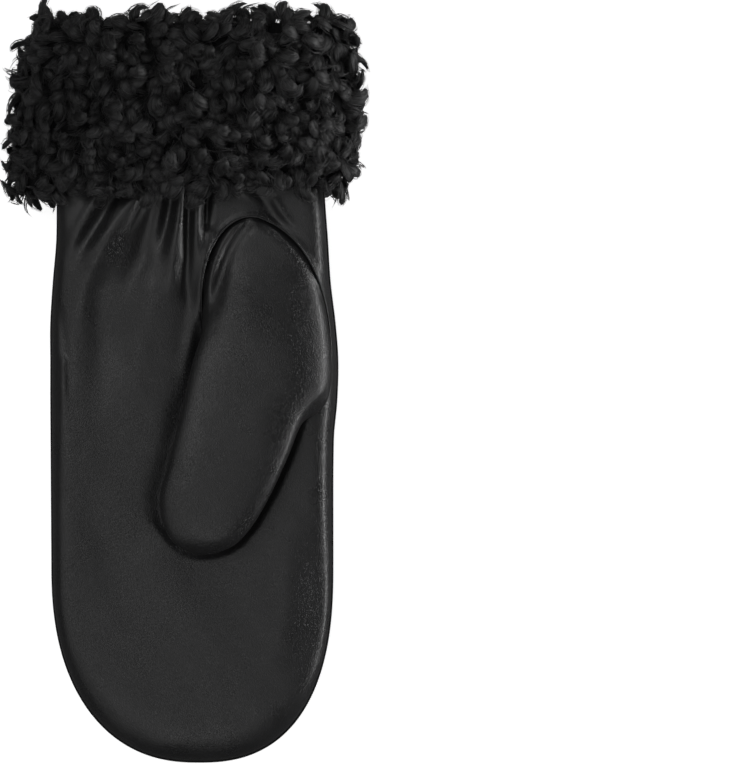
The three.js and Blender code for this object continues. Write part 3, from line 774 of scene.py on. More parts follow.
def backing_painted_shade_finish(settings):
    """The wool roots under the curls, dyed darker than the curls as painted shade in the gaps
    between them.
    """
    material, tree, shader = new_finish("wool_roots_painted_shade")
    place = add_node(tree, "ShaderNodeTexCoord").outputs["Object"]
    tangle = add_node(tree, "ShaderNodeTexNoise", [(place, "Vector")], Scale=700.0, Detail=4.0)
    raised = bumped(tree, tangle.outputs["Fac"], 1.0, 0.0008)
    tree.links.new(raised, shader.inputs["Normal"])
    # Painted shade: the roots get only 0.2 to 0.6 of the wool's dye, for the shade in the gaps
    # between the curls.
    dye_unevenly(tree, shader, tangle.outputs["Fac"], settings.color, 0.2, 0.6)
    shader.inputs["Roughness"].default_value = 0.9
    shader.inputs["Specular IOR Level"].default_value = 0.15
    return material


def thread_finish(settings):
    """Waxed black thread, twisted."""
    material, tree, shader = new_finish("waxed_thread")
    place = add_node(tree, "ShaderNodeTexCoord").outputs["Object"]
    twist = add_node(
        tree, "ShaderNodeTexWave", [(place, "Vector")], Scale=900.0, Distortion=1.5)
    raised = bumped(tree, twist.outputs["Fac"], 0.6, 0.00002)
    tree.links.new(raised, shader.inputs["Normal"])
    dye_unevenly(tree, shader, twist.outputs["Fac"], settings.color, 0.7, 1.3)
    shader.inputs["Roughness"].default_value = 0.5
    return material


def shared_finish(name, build, *settings):
    """The finish of that name, built the first time that it's asked for."""
    return bpy.data.materials.get(name) or build(*settings)


class MITTEN_OT_palm(bpy.types.Operator):
    """Build the palm's leather, with its gathers, its rim and the thumb's hole"""

    bl_idname = "mitten.palm"
    bl_label = "Palm Leather"

    def execute(self, context):
        settings = context.scene.mitten_leather
        x, y = plan_grid(settings.palm_step / MM, HIDDEN_STEP)
        rows, columns = x.shape
        faces = quads_of(rows, columns)
        hole = thumb_hole()
        reach, nearest = outline_distance(x, y, hole)
        reach, nearest = reach.ravel(), nearest.reshape(-1, 2)
        x, y = x.ravel(), y.ravel()
        faces = faces[reach[faces].mean(axis=1) < 0]
        count = len(x)
        open_points = np.unique(walls_between(faces, count) % count)
        within = outwardness(x, y)[open_points] < 0.999
        at_hole = open_points[within & (np.abs(reach[open_points]) < 3 * settings.palm_step / MM)]
        x[at_hole], y[at_hole] = nearest[at_hole].T
        reach[at_hole] = 0
        e = outwardness(x, y)
        z = palm_height(x, y, GATHERS + FINE_FOLDS)
        fade = (1 - smooth(e, 0.9, 1)) * (1 - smooth(y, GATHERS_FADE_FROM_Y, GATHERS_FADE_TO_Y))
        z += soft_waves(x, y) * fade
        z += HOLE_RIM_RISE * (1 - smooth(-reach, 0, HOLE_RIM_WIDTH)) * smooth(y, 6, 24)
        inward = unit(outline_direction(x, y)) * (SEAM_RIM * smooth(e, 0.75, 1))[:, None]
        outer = np.stack([x, y, z], axis=-1) - inward
        base = np.stack([x, y, seam_z(y) + palm_crown(y) * palm_profile(e)], axis=-1) - inward
        wall = settings.wall / MM
        inner = base - facing(x, y, palm_crown(y), palm_profile, 1) * wall
        inner[:, 2] = np.minimum(inner[:, 2], outer[:, 2] - 0.8 * wall * (e < 0.9))
        points, faces = two_sided(outer, inner, faces)
        finish = shared_finish("satin_leather", leather_finish, settings)
        palm = make_piece("palm_leather", points, faces, finish)
        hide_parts("palm_panel")
        self.make_hole_edge(hole, finish)
        return {"FINISHED"}

    def make_hole_edge(self, hole, finish):
        """The palm's turned-in edge along the thumb's seam."""
        steps = np.linspace(0, 1, 260)
        first = np.argmin(hole[:, 1])
        ordered = np.roll(hole, -first, axis=0)
        ordered = np.concatenate([ordered, ordered[:1]])
        walked = np.concatenate([[0], np.cumsum(np.linalg.norm(np.diff(ordered, axis=0), axis=1))])
        x = np.interp(steps * walked[-1], walked, ordered[:, 0])
        y = np.interp(steps * walked[-1], walked, ordered[:, 1])
        rise = HOLE_RIM_RISE * smooth(y, 6, 24)
        z = palm_height(x, y, GATHERS + FINE_FOLDS) + rise - HOLE_EDGE_DROP
        path = np.stack([x, y, z], axis=-1)
        side = np.gradient(path, axis=0)
        flats = np.stack([side[:, 1], -side[:, 0], np.zeros(len(x))], axis=-1)
        size = np.full((1, len(x)), HOLE_EDGE_RADIUS)
        points, faces, _ = tube_along(path[None], flats[None], size, size, 8)
        make_piece("thumb_hole_edge", points, faces, finish)


class MITTEN_OT_back(bpy.types.Operator):
    """Build the back's leather, with the bead that its edge makes round the palm"""

    bl_idname = "mitten.back"
    bl_label = "Back Leather"

    def execute(self, context):
        settings = context.scene.mitten_leather
        x, y = plan_grid(settings.back_step / MM, HIDDEN_STEP)
        rows, columns = x.shape
        e = outwardness(x, y)
        across = np.abs(x - hand_middle(y)) / hand_half_width(y)
        wide = 1 - smooth(across, 0.62, BACK_FLAT_SHARE)
        long = smooth(y, -72, -62) * (1 - smooth(y, 46, 60))
        z = seam_z(y) - SEAM_HEIGHT * back_profile(e) + BACK_ARCH * wide * long
        z = np.maximum(z, underside(y))
        z += np.abs(soft_waves(x, y)) * (1 - smooth(e, 0.9, 1)) * smooth(y, 16, 40)
        outer = np.stack([x, y, z], axis=-1)
        wall = settings.wall / MM
        inward = facing(x, y, np.full(x.shape, SEAM_HEIGHT), back_profile, -1)
        inner = outer - inward * wall
        level = unit(outline_direction(x, y))
        faces = quads_of(rows, columns)[:, ::-1]
        points = np.concatenate([outer.reshape(-1, 3), inner.reshape(-1, 3)])
        count = rows * columns
        rim = [(r, 0) for r in range(rows)]
        rim += [(rows - 1, c) for c in range(1, columns)]
        rim += [(r, columns - 1) for r in range(rows - 2, -1, -1)]
        rim = np.array(rim)
        edge = outer[rim[:, 0], rim[:, 1]]
        out = level[rim[:, 0], rim[:, 1]]
        loops = [rim[:, 0] * columns + rim[:, 1]]
        for shift, rise in SEAM_BEAD:
            loops.append(len(points) + np.arange(len(rim)))
            points = np.concatenate([points, edge + out * shift + np.array([0, 0, rise])])
        loops.append(rim[:, 0] * columns + rim[:, 1] + count)
        joined = [faces, faces[:, ::-1] + count]
        for a, b in zip(loops[:-1], loops[1:]):
            joined.append(np.stack([a[:-1], a[1:], b[1:], b[:-1]], axis=-1))
        left, right = np.arange(columns - 1), np.arange(1, columns)
        joined.append(np.stack([right + count, left + count, left, right], axis=-1))
        every = np.concatenate(joined)
        finish = shared_finish("satin_leather", leather_finish, settings)
        back = make_piece("back_leather", points, every, finish)
        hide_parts("back_panel")
        return {"FINISHED"}


class MITTEN_OT_thumb(bpy.types.Operator):
    """Build the thumb's leather, a hollow tube set in the palm's hole"""

    bl_idname = "mitten.thumb"
    bl_label = "Thumb Leather"

    def execute(self, context):
        settings = context.scene.mitten_leather
        sides = THUMB_SIDES
        angles = np.linspace(0, 2 * math.pi, sides + 1)[:-1]
        root = np.linspace(0, THUMB_RISE_SHARE, 5)
        shown = np.linspace(THUMB_RISE_SHARE, THUMB_END_SHARE, THUMB_RINGS)
        shares = np.concatenate([root, shown[1:]])
        outer = thumb_surface(shares, angles, 0.0, THUMB_FOLDS)
        waves = soft_waves(outer[..., 0] * 1.3, outer[..., 1] * 1.3)
        outer[..., 2] += 0.7 * waves * smooth(shares, 0.05, 0.2)[:, None]
        wall = settings.thumb_wall / MM
        inner_shares = shares * THUMB_INNER_REACH / THUMB_END_SHARE
        inner = thumb_surface(inner_shares, angles, wall, [])
        rings = [*outer, *self.closing_rings(outer[-1], 0.15)]
        inner_rings = [*inner, *self.closing_rings(inner[-1], 0.0)]
        outer_points = np.concatenate(rings)
        inner_points = np.concatenate(inner_rings)
        count = len(outer_points)
        r, k = np.meshgrid(np.arange(len(rings) - 1), np.arange(sides), indexing="ij")
        following = (k + 1) % sides
        a, b = r * sides + k, r * sides + following
        faces = np.stack([a, b, b + sides, a + sides], axis=-1).reshape(-1, 4)
        ring = np.arange(sides)
        turned = np.roll(ring, -1)
        lip = np.stack([turned, ring, ring + count, turned + count], axis=-1)
        every = np.concatenate([faces, faces[:, ::-1] + count, lip])
        finish = shared_finish("satin_leather", leather_finish, settings)
        points = np.concatenate([outer_points, inner_points])
        thumb = make_piece("thumb_leather", points, every, finish)
        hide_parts("thumb")
        return {"FINISHED"}

    @staticmethod
    def closing_rings(ring, depth):
        """Rings that close the tip as a low dome of that depth."""
        middle = ring.mean(axis=0)
        ahead = np.array([0.3, -0.95, 0.0]) * depth
        turns = np.linspace(0, math.pi / 2, 8)[1:]
        return [
            middle + (ring - middle) * max(math.cos(turn), 0.02) + ahead * math.sin(turn)
            for turn in turns
        ]


def tube_along(paths, flats, half_widths, half_depths, sides=4):
    """Closed tubes, each along its own path.

    Paths and flats, the sideways directions, are (tubes, steps, 3); the sizes are (tubes, steps).
    """
    tubes, steps, _ = paths.shape
    ahead = unit(np.gradient(paths, axis=1))
    flats = unit(flats - ahead * np.sum(flats * ahead, axis=-1, keepdims=True))
    ups = np.cross(ahead, flats)
    turns = np.arange(sides) * 2 * math.pi / sides
    rings = [
        paths + flats * (half_widths * math.cos(turn))[..., None]
        + ups * (half_depths * math.sin(turn))[..., None]
        for turn in turns
    ]
    points = np.stack(rings, axis=2)
    ring_of = np.arange(tubes * steps).reshape(tubes, steps) * sides
    faces = []
    for k in range(sides):
        a = ring_of[:, :-1] + k
        b = ring_of[:, :-1] + (k + 1) % sides
        faces.append(np.stack([a, b, b + sides, a + sides], axis=-1).reshape(-1, 4))
    for k in range(1, sides - 1, 2):
        last = min(k + 2, sides - 1)
        cap = np.array([0, k, k + 1, last]) if last > k + 1 else np.array([0, k, k + 1, k + 1])
        faces.append(ring_of[:, 0, None] + cap)
        faces.append(ring_of[:, -1, None] + cap)
    around = np.broadcast_to(np.arange(sides) / sides, (tubes, steps, sides))
    length = np.broadcast_to(np.linspace(0, 1, steps)[None, :, None], (tubes, steps, sides))
    uvs = np.stack([around, length], axis=-1)
    return points.reshape(-1, 3), np.concatenate(faces), uvs.reshape(-1, 2)


class MITTEN_OT_points(bpy.types.Operator):
    """Build the back's three raised tucks and the rows of stitches at their sides"""

    bl_idname = "mitten.points"
    bl_label = "Stitched Points"

    def execute(self, context):
        scene = context.scene
        thread = scene.mitten_stitches
        finish = shared_finish("satin_leather", leather_finish, scene.mitten_leather)
        pitch = thread.pitch / MM
        tucks, stitches = [], []
        for point in BACK_POINTS:
            start, end = np.array(point["start"]), np.array(point["end"])
            length = np.hypot(*(end - start))
            ahead = (end - start) / length
            side = np.array([-ahead[1], ahead[0]])
            places = np.arange(0.4 * pitch, length - 0.4 * pitch, pitch)
            steps = np.linspace(-0.6, length + 0.6, 160)
            pucker = TUCK_PUCKER * np.cos(2 * math.pi * (steps - places[0]) / pitch)
            taper = smooth(steps, -0.6, 1.2) * (1 - smooth(steps, length - 1.2, length + 0.6))
            line = start + ahead * steps[:, None]
            path = np.column_stack([line, np.full(len(steps), BACK_ARCH + 0.25)])
            tucks.append((path, side, (TUCK_RADIUS + pucker) * taper + 0.02))
            for row in (-1, 1):
                for place in places:
                    middle = start + ahead * place + side * row * thread.spread / MM / 2
                    stitches.append((middle, ahead, side))
        self.make_tucks(tucks, finish)
        self.make_stitches(stitches, thread)
        return {"FINISHED"}

    def make_tucks(self, tucks, finish):
        """The three tucks as one mesh."""
        paths = np.array([path for path, *_ in tucks])
        flats = np.array([np.broadcast_to([*side, 0], path.shape) for path, side, *_ in tucks])
        size = np.array([width for *_, width in tucks])
        points, faces, _ = tube_along(paths, flats, size, size)
        make_piece("back_tucks", points, faces, finish)

    def make_stitches(self, stitches, thread):
        """All stitches as one mesh: each dips into the leather at both ends."""
        t = np.linspace(-1, 1, 9)
        half = thread.length / MM / 2
        radius = thread.radius / MM
        middles = np.array([middle for middle, *_ in stitches])
        aheads = np.array([ahead for _, ahead, _ in stitches])
        sides = np.array([side for *_, side in stitches])
        level = middles[:, None, :] + aheads[:, None, :] * (t * half)[None, :, None]
        dip = BACK_ARCH - 0.12 + 0.5 * np.abs(t) ** 3
        heights = np.broadcast_to(dip[None, :, None], (*level.shape[:2], 1))
        paths = np.concatenate([level, heights], axis=-1)
        flats = np.concatenate([sides, np.zeros((len(sides), 1))], axis=-1)
        flats = np.broadcast_to(flats[:, None, :], paths.shape)
        width = np.broadcast_to(radius * np.sqrt(1.02 - t**2), level.shape[:2])
        points, faces, uvs = tube_along(paths, flats, width, width * 0.9)
        finish = shared_finish("waxed_thread", thread_finish, thread)
        make_piece("point_stitches", points, faces, finish, uvs)


# The cuff
def wrist_point(angle, y, gap):
    """The leather's surface inside the cuff, grown by a gap."""
    u = np.cos(angle)
    top = np.sin(angle) >= 0
    x = hand_middle(y) + hand_half_width(y) * u
    e = np.abs(u)
    high = seam_z(y) + palm_crown(y) * palm_profile(e)
    low = seam_z(y) - SEAM_HEIGHT * back_profile(e)
    over = facing(x, y, palm_crown(y), palm_profile, 1)
    under = facing(x, y, np.full(x.shape, SEAM_HEIGHT), back_profile, -1)
    out = np.where(top[..., None], over, under) * np.array([1, 0, 1])
    surface = np.stack([x, y, np.where(top, high, low)], axis=-1)
    return surface + unit(out) * np.broadcast_to(gap, x.shape)[..., None]


def cuff_outside(angle, y):
    """The outer form that the curls stand on."""
    value = {key: along(CUFF_SECTIONS, y, "y", key) for key in ("left", "right", "top")}
    half = (value["right"] - value["left"]) / 2
    middle = (value["right"] + value["left"]) / 2
    rise = value["top"] / 2
    high = rounded(np.sin(angle), CUFF_ROUNDNESS)
    z = rise + (rise + np.where(high < 0, 2, 0)) * high
    return np.stack([middle + half * rounded(np.cos(angle), CUFF_ROUNDNESS), y, z], axis=-1)


def cuff_surface(angle, t):
    """The pile's surface: t runs from -1 at the mouth to 1 at the edge over the hand."""
    aslant = CURLS_ASLANT * np.cos(angle) * smooth(t, 0, 1)
    y = (CURLS_TOP_Y + CURLS_LOW_Y) / 2 - (CURLS_TOP_Y - CURLS_LOW_Y) / 2 * t + aslant
    reach = (1 - np.abs(t) ** 5) ** 0.28
    gap = RIM_TUCK + (CUFF_FLARE - RIM_TUCK) * (t + 1) / 2
    inside = wrist_point(angle, y, gap)
    return inside + (cuff_outside(angle, y) - inside) * reach[..., None]


def even_values(function, low, high, shares):
    """Values at which the points of a line are evenly spaced along it."""
    samples = np.linspace(low, high, 1441)
    line = function(samples)
    length = np.concatenate([[0], np.cumsum(np.linalg.norm(np.diff(line, axis=0), axis=1))])
    return np.interp(shares * length[-1], length, samples), length[-1]


class MITTEN_OT_backing(bpy.types.Operator):
    """Build the ring of wool roots that the curls stand on"""

    bl_idname = "mitten.backing"
    bl_label = "Cuff Backing"

    def execute(self, context):
        settings = context.scene.mitten_cuff
        around = BACKING_SIDES
        angles = np.linspace(0, 2 * math.pi, around + 1)[:-1]
        ts = np.sin(np.linspace(-1, 1, 43) * math.pi / 2) * 0.94
        loops = []
        for t in ts:
            loop = cuff_surface(angles, np.full(around, t))
            y = loop[:, 1]
            inside = wrist_point(angles, y, CUFF_GAP)
            loop += unit(inside - loop) * BACKING_SINK
            loop[:, 2] = np.maximum(loop[:, 2], 0.25)
            loops.append(loop)
        lining = [
            (CURLS_LOW_Y + 1, CUFF_FLARE), (84.0, CUFF_GAP), (108.0, CUFF_GAP),
            (134.5, CUFF_GAP), (134.5, RIM_TUCK), (CURLS_TOP_Y - 2.5, RIM_TUCK),
        ]
        for y, gap in lining:
            loops.append(wrist_point(angles, np.full(around, y), gap))
        points = np.concatenate(loops)
        r, k = np.meshgrid(np.arange(len(loops)), np.arange(around), indexing="ij")
        following, next_row = (k + 1) % around, (r + 1) % len(loops)
        faces = np.stack(
            [r * around + k, r * around + following,
             next_row * around + following, next_row * around + k], axis=-1).reshape(-1, 4)
        finish = shared_finish("wool_roots_painted_shade", backing_painted_shade_finish, settings)
        backing = make_piece("cuff_backing", points, faces, finish)
        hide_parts("cuff")
        return {"FINISHED"}


def lock_places(settings, rng):
    """Where the curls stand: points, outward directions and directions towards the fingers."""
    pitch = settings.lock_pitch / MM

    def down_line(ts):
        return cuff_surface(np.full(len(ts), math.pi / 2), ts)

    def round_line(angles):
        return cuff_surface(angles, np.zeros(len(angles)))

    _, down_length = even_values(down_line, -0.999, 0.999, np.array([0.0]))
    _, round_length = even_values(round_line, 0, 2 * math.pi, np.array([0.0]))
    rows = int(down_length / (pitch * 0.9))
    columns = int(round_length / pitch)
    row, column = np.meshgrid(np.arange(rows), np.arange(columns), indexing="ij")
    row, column = row.ravel(), column.ravel()
    down_share = (row + 0.5 + rng.uniform(-0.42, 0.42, row.shape)) / rows
    round_share = (column + 0.5 * (row % 2) + rng.uniform(-0.42, 0.42, row.shape)) / columns
    ts, _ = even_values(down_line, -0.985, 0.985, down_share)
    angles, _ = even_values(round_line, 0, 2 * math.pi, round_share % 1)
    place = cuff_surface(angles, ts)
    small = 0.01
    across = cuff_surface(angles + small, ts) - cuff_surface(angles - small, ts)
    down = cuff_surface(angles, np.minimum(ts + small, 0.999)) - cuff_surface(angles, ts - small)
    across, down = unit(across), unit(down)
    out = unit(np.cross(across, down))
    middle_point = np.stack(
        [hand_middle(place[:, 1]), place[:, 1], seam_z(place[:, 1])], axis=-1)
    flip = np.sum(out * (place - middle_point), axis=-1) < 0
    out[flip] *= -1
    over_mouth = (ts < MOUTH_CURLS_T) & (rng.uniform(0, 1, ts.shape) < 0.6)
    down[over_mouth] *= -1
    return place, out, down, angles


def curl_frames(place, out, down, shape, settings, rng):
    """Each curl's middle line, which rises out of the pile and bends over, and half its width."""
    locks = len(place)
    a = np.linspace(0, 1, CURL_STEPS)
    size = rng.uniform(0.75, 1.3, locks)
    length = settings.lock_length / MM * size * shape["length"]
    width = settings.lock_width / MM * size * rng.uniform(0.85, 1.15, locks) * shape["width"]
    swing = rng.normal(0, 1.0, locks)
    side = np.cross(out, down)
    lean = down * np.cos(swing)[:, None] + side * np.sin(swing)[:, None]
    curled = rng.uniform(0, 1, locks) < CURLED_SHARE
    curl = rng.uniform(1.6, 3.6, locks) * rng.choice([-1, 1], locks)
    veer = np.where(curled, curl, rng.normal(0, 0.6, locks))[:, None] * a
    first = rng.uniform(*shape["first"], locks)
    last = np.where(curled, rng.uniform(1.2, 2.0, locks), rng.uniform(*shape["last"], locks))
    turn = first[:, None] + (last - first)[:, None] * a ** shape["bend"]
    cross = np.cross(out, lean)
    veer = veer[..., None]
    lean_at = np.cos(veer) * lean[:, None, :] + np.sin(veer) * cross[:, None, :]
    up = np.broadcast_to(out[:, None, :], lean_at.shape)
    heading = np.sin(turn)[..., None] * lean_at + np.cos(turn)[..., None] * up
    stride = (length / (CURL_STEPS - 1))[:, None, None]
    walked = np.cumsum((heading[:, :-1] + heading[:, 1:]) / 2 * stride, axis=1)
    walked = np.concatenate([np.zeros((locks, 1, 3)), walked], axis=1)
    path = (place - out * CURL_ROOT)[:, None, :] + walked
    sideways = unit(np.cross(up, lean_at))
    return path, sideways, width[:, None]


def strand_paths(path, sideways, width, rng, strands):
    """Strands that lie side by side over each curl: paths, sideways directions, thicknesses."""
    locks, steps, _ = path.shape
    a = np.linspace(0, 1, steps)
    share = rng.uniform(0.78, 1.14, (locks, strands))
    at = share[..., None] * a * (steps - 1)
    low = np.minimum(at.astype(int), steps - 2)
    part = (at - low)[..., None]
    lock = np.arange(locks)[:, None, None]
    ahead = unit(np.gradient(path, axis=1))
    ups = np.cross(ahead, sideways)

    def sampled(values):
        return values[lock, low] * (1 - part) + values[lock, low + 1] * part

    middle, side, up, along_it = (sampled(values) for values in (path, sideways, ups, ahead))
    wide = np.maximum(sampled(width[..., None])[..., 0], 0.12)
    fan = np.linspace(-1.75, 1.75, strands) + rng.normal(0, 0.16, (locks, strands))
    twist = rng.normal(0, 0.35, locks)[:, None] + rng.normal(0, 0.22, (locks, strands))
    around = (fan[..., None] + twist[..., None] * a)[..., None]
    loose = 1.0 + np.abs(rng.normal(0, 0.3, (locks, strands)))[..., None] * a**1.5
    frizz = 0.2 * np.sin(
        rng.uniform(0, 6.28, (locks, strands))[..., None]
        + rng.uniform(6, 13, (locks, strands))[..., None] * a)
    spread = (loose * wide + frizz)[..., None]
    offset = side * np.sin(around) + CURL_DEPTH * up * np.cos(around)
    slide = rng.normal(0, 0.3, (locks, strands))[..., None, None] * along_it
    paths = middle + offset * spread + slide
    thick = rng.uniform(0.1, 0.22, (locks, strands))[..., None]
    taper = np.interp(a, [0, 0.2, 0.8, 1], [0.7, 1.0, 0.8, 0.25])
    flat_shape = (locks * strands, steps)
    flats = side * np.cos(around) - up * np.sin(around)
    return (
        paths.reshape(*flat_shape, 3), flats.reshape(*flat_shape, 3),
        (thick * taper).reshape(flat_shape),
    )


def keep_outside(points, clearance):
    """Points that would be in the leather or the ground are moved out to its surface."""
    x, y, z = points.T.copy()
    e = outwardness(x, y)
    in_plan = (e < 1) & (y < MOUTH_Y)
    high = palm_height(x, y, GATHERS) + clearance
    low = seam_z(y) - SEAM_HEIGHT * back_profile(np.minimum(e, 1)) - clearance
    upper = in_plan & (z < high) & (z > seam_z(y) - 2)
    lower = in_plan & (z > low) & (z <= seam_z(y) - 2)
    z = np.where(upper, high, np.where(lower, low, z))
    return np.stack([x, y, np.maximum(z, clearance * 0.5)], axis=-1)


def make_wool(name, paths, flats, wide, deep, tones, finish, rng, sides):
    """One mesh of wool tubes, each with its own tone, painted shade at its root, a painted
    highlight at its tip and its own run of fibres.
    """
    points, faces, uvs = tube_along(paths, flats, wide, deep, sides)
    points = keep_outside(points, 0.2)
    per_tube = len(points) // len(tones)
    uvs[:, 0] += np.repeat(rng.uniform(0, 40, len(tones)), per_tube)
    # Each tube's tone is painted darker at its root as shade and lighter at its tip as a
    # highlight.
    tone_with_painted_light = np.repeat(tones[:, None] * np.array(PAINTED_SHADE_AND_HIGHLIGHT_ALONG), sides)
    make_piece(name, points, faces, finish, uvs, tone_with_painted_light.ravel())


class MITTEN_OT_curls(bpy.types.Operator):
    """Build the shearling's curls, each a soft core with strands that wind round it"""

    bl_idname = "mitten.curls"
    bl_label = "Shearling Curls"

    def execute(self, context):
        settings = context.scene.mitten_cuff
        rng = np.random.default_rng(CURLS_SEED)
        place, out, down, angles = lock_places(settings, rng)
        finish = shared_finish(
            "black_wool", wool_finish, settings, "black_wool", FIBRES_ROUND_STRAND)
        core_finish = shared_finish(
            "wool_cores", wool_finish, settings, "wool_cores", FIBRES_ROUND_CORE)
        sectors = [
            ("palm_thumb_side", 0.0, 0.5, settings.strands),
            ("palm_far_side", 0.5, 1.0, settings.strands),
            ("back_far_side", 1.0, 1.5, settings.strands // 2),
            ("back_thumb_side", 1.5, 2.0, settings.strands // 2),
        ]
        cores = []
        for name, start, end, strands in sectors:
            share = angles / math.pi
            mine = (share >= start) & (share < end)
            path, sideways, width = curl_frames(
                place[mine], out[mine], down[mine], CURL_SHAPE, settings, rng)
            width = width * np.array(CURL_TAPER)
            tone = rng.uniform(0.08, 0.75, len(path))
            cores.append((path, sideways, width, tone))
            paths, flats, wide = strand_paths(path, sideways, width, rng, strands)
            tones = np.repeat(tone, strands) + rng.normal(0.05, 0.42, len(paths))
            tones = np.clip(tones, 0.02, 1.2)
            make_wool(f"curls_{name}", paths, flats, wide, wide * 0.7, tones, finish, rng, 3)
        path, sideways, width, tone = (np.concatenate(part) for part in zip(*cores))
        # The cores get 0.45 of their curls' tone: painted shade inside each curl, between its
        # strands.
        make_wool(
            "curl_cores", path, sideways, width * 0.8, width * CURL_DEPTH * 0.7, tone * 0.45,
            core_finish, rng, 7)
        return {"FINISHED"}


class MITTEN_OT_tufts(bpy.types.Operator):
    """Build the pointed tufts that stand out of the curls as hooks and loops"""

    bl_idname = "mitten.tufts"
    bl_label = "Loose Tufts"

    def execute(self, context):
        settings = context.scene.mitten_cuff
        rng = np.random.default_rng(TUFTS_SEED)
        place, out, down, _ = lock_places(settings, rng)
        chosen = rng.permutation(len(place))[: settings.tufts]
        path, sideways, width = curl_frames(
            place[chosen], out[chosen], down[chosen], TUFT_SHAPE, settings, rng)
        width = width * np.array(TUFT_TAPER)
        paths, flats, wide = strand_paths(path, sideways, width, rng, TUFT_STRANDS)
        tones = np.repeat(rng.uniform(0.1, 0.7, len(chosen)), TUFT_STRANDS)
        finish = shared_finish(
            "black_wool", wool_finish, settings, "black_wool", FIBRES_ROUND_STRAND)
        make_wool("cuff_tufts", paths, flats, wide, wide * 0.8, tones, finish, rng, 3)
        return {"FINISHED"}


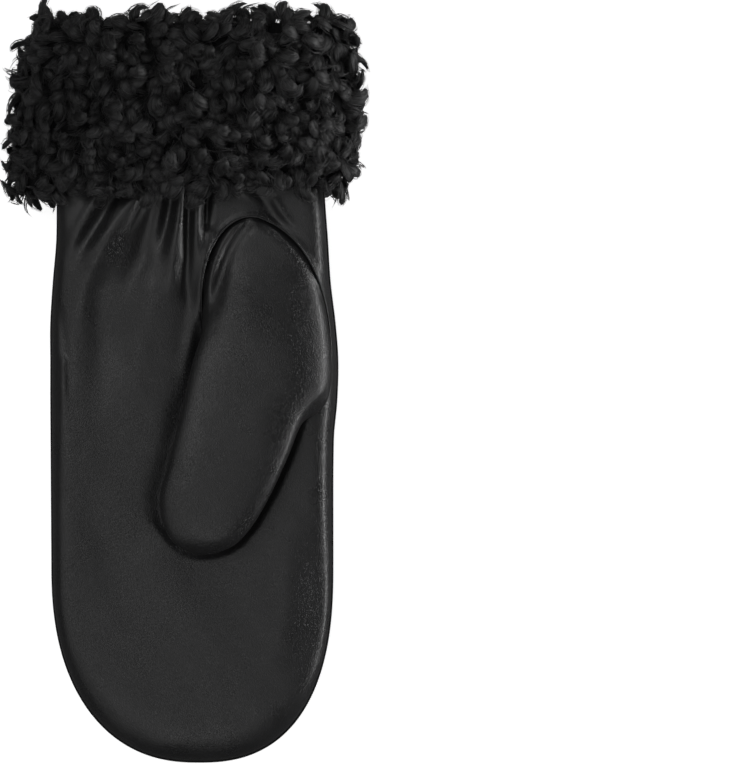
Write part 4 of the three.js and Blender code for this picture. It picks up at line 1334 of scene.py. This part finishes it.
class MITTEN_OT_stage(bpy.types.Operator):
    """Build the pale floor, the softboxes and the camera over the mitten"""

    bl_idname = "mitten.stage"
    bl_label = "Stage"

    def execute(self, context):
        settings = context.scene.mitten_stage
        self.make_floor(settings)
        self.make_world(context.scene)
        softboxes = [
            ("softbox_right", (760, 80, 150), (0.9, 0.12), settings.side_light),
            ("softbox_left", (-1100, 1000, 2800), (1.6, 1.6), settings.left_light),
            ("softbox_above", (-1600, -600, 3400), (5.0, 5.0), settings.top_light),
            ("softbox_front", (-250, -1500, 2900), (1.5, 0.9), settings.front_light),
        ]
        for name, place, size, power in softboxes:
            self.make_softbox(name, np.array(place, float), size, power)
        self.make_camera(context.scene, settings)
        return {"FINISHED"}

    def make_floor(self, settings):
        """A wide pale floor just under the mitten."""
        half = FLOOR_HALF
        corners = np.array([[-half, -half], [half, -half], [half, half], [-half, half]])
        points = np.column_stack([corners, np.full(4, FLOOR_Z)])
        material, tree, shader = new_finish("pale_floor")
        place = add_node(tree, "ShaderNodeTexCoord").outputs["Object"]
        cloud = add_node(tree, "ShaderNodeTexNoise", [(place, "Vector")], Scale=6.0)
        dye_unevenly(tree, shader, cloud.outputs["Fac"], settings.floor_color, 0.99, 1.0)
        shader.inputs["Roughness"].default_value = 0.9
        shader.inputs["Emission Color"].default_value = (1, 1, 1, 1)
        shader.inputs["Emission Strength"].default_value = 0.8
        mesh = bpy.data.meshes.new("floor")
        mesh.from_pydata((points * MM).tolist(), [], [(0, 1, 2, 3)])
        mesh.materials.append(material)
        floor = bpy.data.objects.new("floor", mesh)
        floor.visible_glossy = False
        bpy.context.scene.collection.objects.link(floor)

    def make_world(self, scene):
        """A dim even surround."""
        world = bpy.data.worlds.new("studio")
        world.use_nodes = True
        background = world.node_tree.nodes["Background"]
        background.inputs["Color"].default_value = (1, 1, 1, 1)
        background.inputs["Strength"].default_value = 0.05
        scene.world = world
        scene.view_settings.view_transform = "Standard"

    def make_softbox(self, name, place, size, power):
        """One rectangular softbox that faces the mitten: its place is in millimetres."""
        light = bpy.data.lights.new(name, "AREA")
        light.shape = "RECTANGLE"
        light.size, light.size_y = size
        light.energy = power
        softbox = bpy.data.objects.new(name, light)
        softbox.location = place * MM
        backward = Vector(place - np.array(LIGHTS_AIM))
        softbox.rotation_euler = backward.to_track_quat("Z", "Y").to_euler()
        bpy.context.scene.collection.objects.link(softbox)

    def make_camera(self, scene, settings):
        """A long lens that looks straight down, framed as the photograph is."""
        camera = bpy.data.cameras.new("camera")
        camera.lens = settings.lens
        camera.sensor_width = 36.0
        camera.clip_end = 20.0
        viewer = bpy.data.objects.new("camera", camera)
        distance = camera.lens / camera.sensor_width * PHOTO_HEIGHT
        viewer.location = (
            PHOTO_MIDDLE[0] * MM, PHOTO_MIDDLE[1] * MM, (distance + PHOTO_PLANE_Z) * MM)
        scene.collection.objects.link(viewer)
        scene.camera = viewer


class MITTEN_PT_sidebar(bpy.types.Panel):
    """The mitten's pieces and sizes"""

    bl_idname = "MITTEN_PT_sidebar"
    bl_label = "Mitten"
    bl_space_type = "VIEW_3D"
    bl_region_type = "UI"
    bl_category = "Mitten"

    def draw(self, context):
        layout = self.layout
        for operator in OPERATORS:
            layout.operator(operator.bl_idname)
        for name, group in GROUPS.items():
            box = layout.box()
            box.label(text=group.__doc__)
            for key in group.__annotations__:
                box.prop(getattr(context.scene, name), key)


GROUPS = {
    "mitten_leather": MITTEN_PG_leather,
    "mitten_stitches": MITTEN_PG_stitches,
    "mitten_cuff": MITTEN_PG_cuff,
    "mitten_stage": MITTEN_PG_stage,
}
OPERATORS = [
    MITTEN_OT_palm,
    MITTEN_OT_back,
    MITTEN_OT_thumb,
    MITTEN_OT_points,
    MITTEN_OT_backing,
    MITTEN_OT_curls,
    MITTEN_OT_tufts,
    MITTEN_OT_stage,
]


def register():
    """Register the settings, the operators and the panel."""
    for name, group in GROUPS.items():
        bpy.utils.register_class(group)
        setattr(bpy.types.Scene, name, PointerProperty(type=group))
    for operator in OPERATORS:
        bpy.utils.register_class(operator)
    bpy.utils.register_class(MITTEN_PT_sidebar)


def unregister():
    """Take them out again."""
    bpy.utils.unregister_class(MITTEN_PT_sidebar)
    for operator in reversed(OPERATORS):
        bpy.utils.unregister_class(operator)
    for name, group in reversed(GROUPS.items()):
        delattr(bpy.types.Scene, name)
        bpy.utils.unregister_class(group)


def main():
    """Build every piece in order."""
    register()
    bpy.ops.mitten.palm()
    bpy.ops.mitten.back()
    bpy.ops.mitten.thumb()
    bpy.ops.mitten.points()
    bpy.ops.mitten.backing()
    bpy.ops.mitten.curls()
    bpy.ops.mitten.tufts()
    bpy.ops.mitten.stage()


if __name__ == "__main__":
    main()
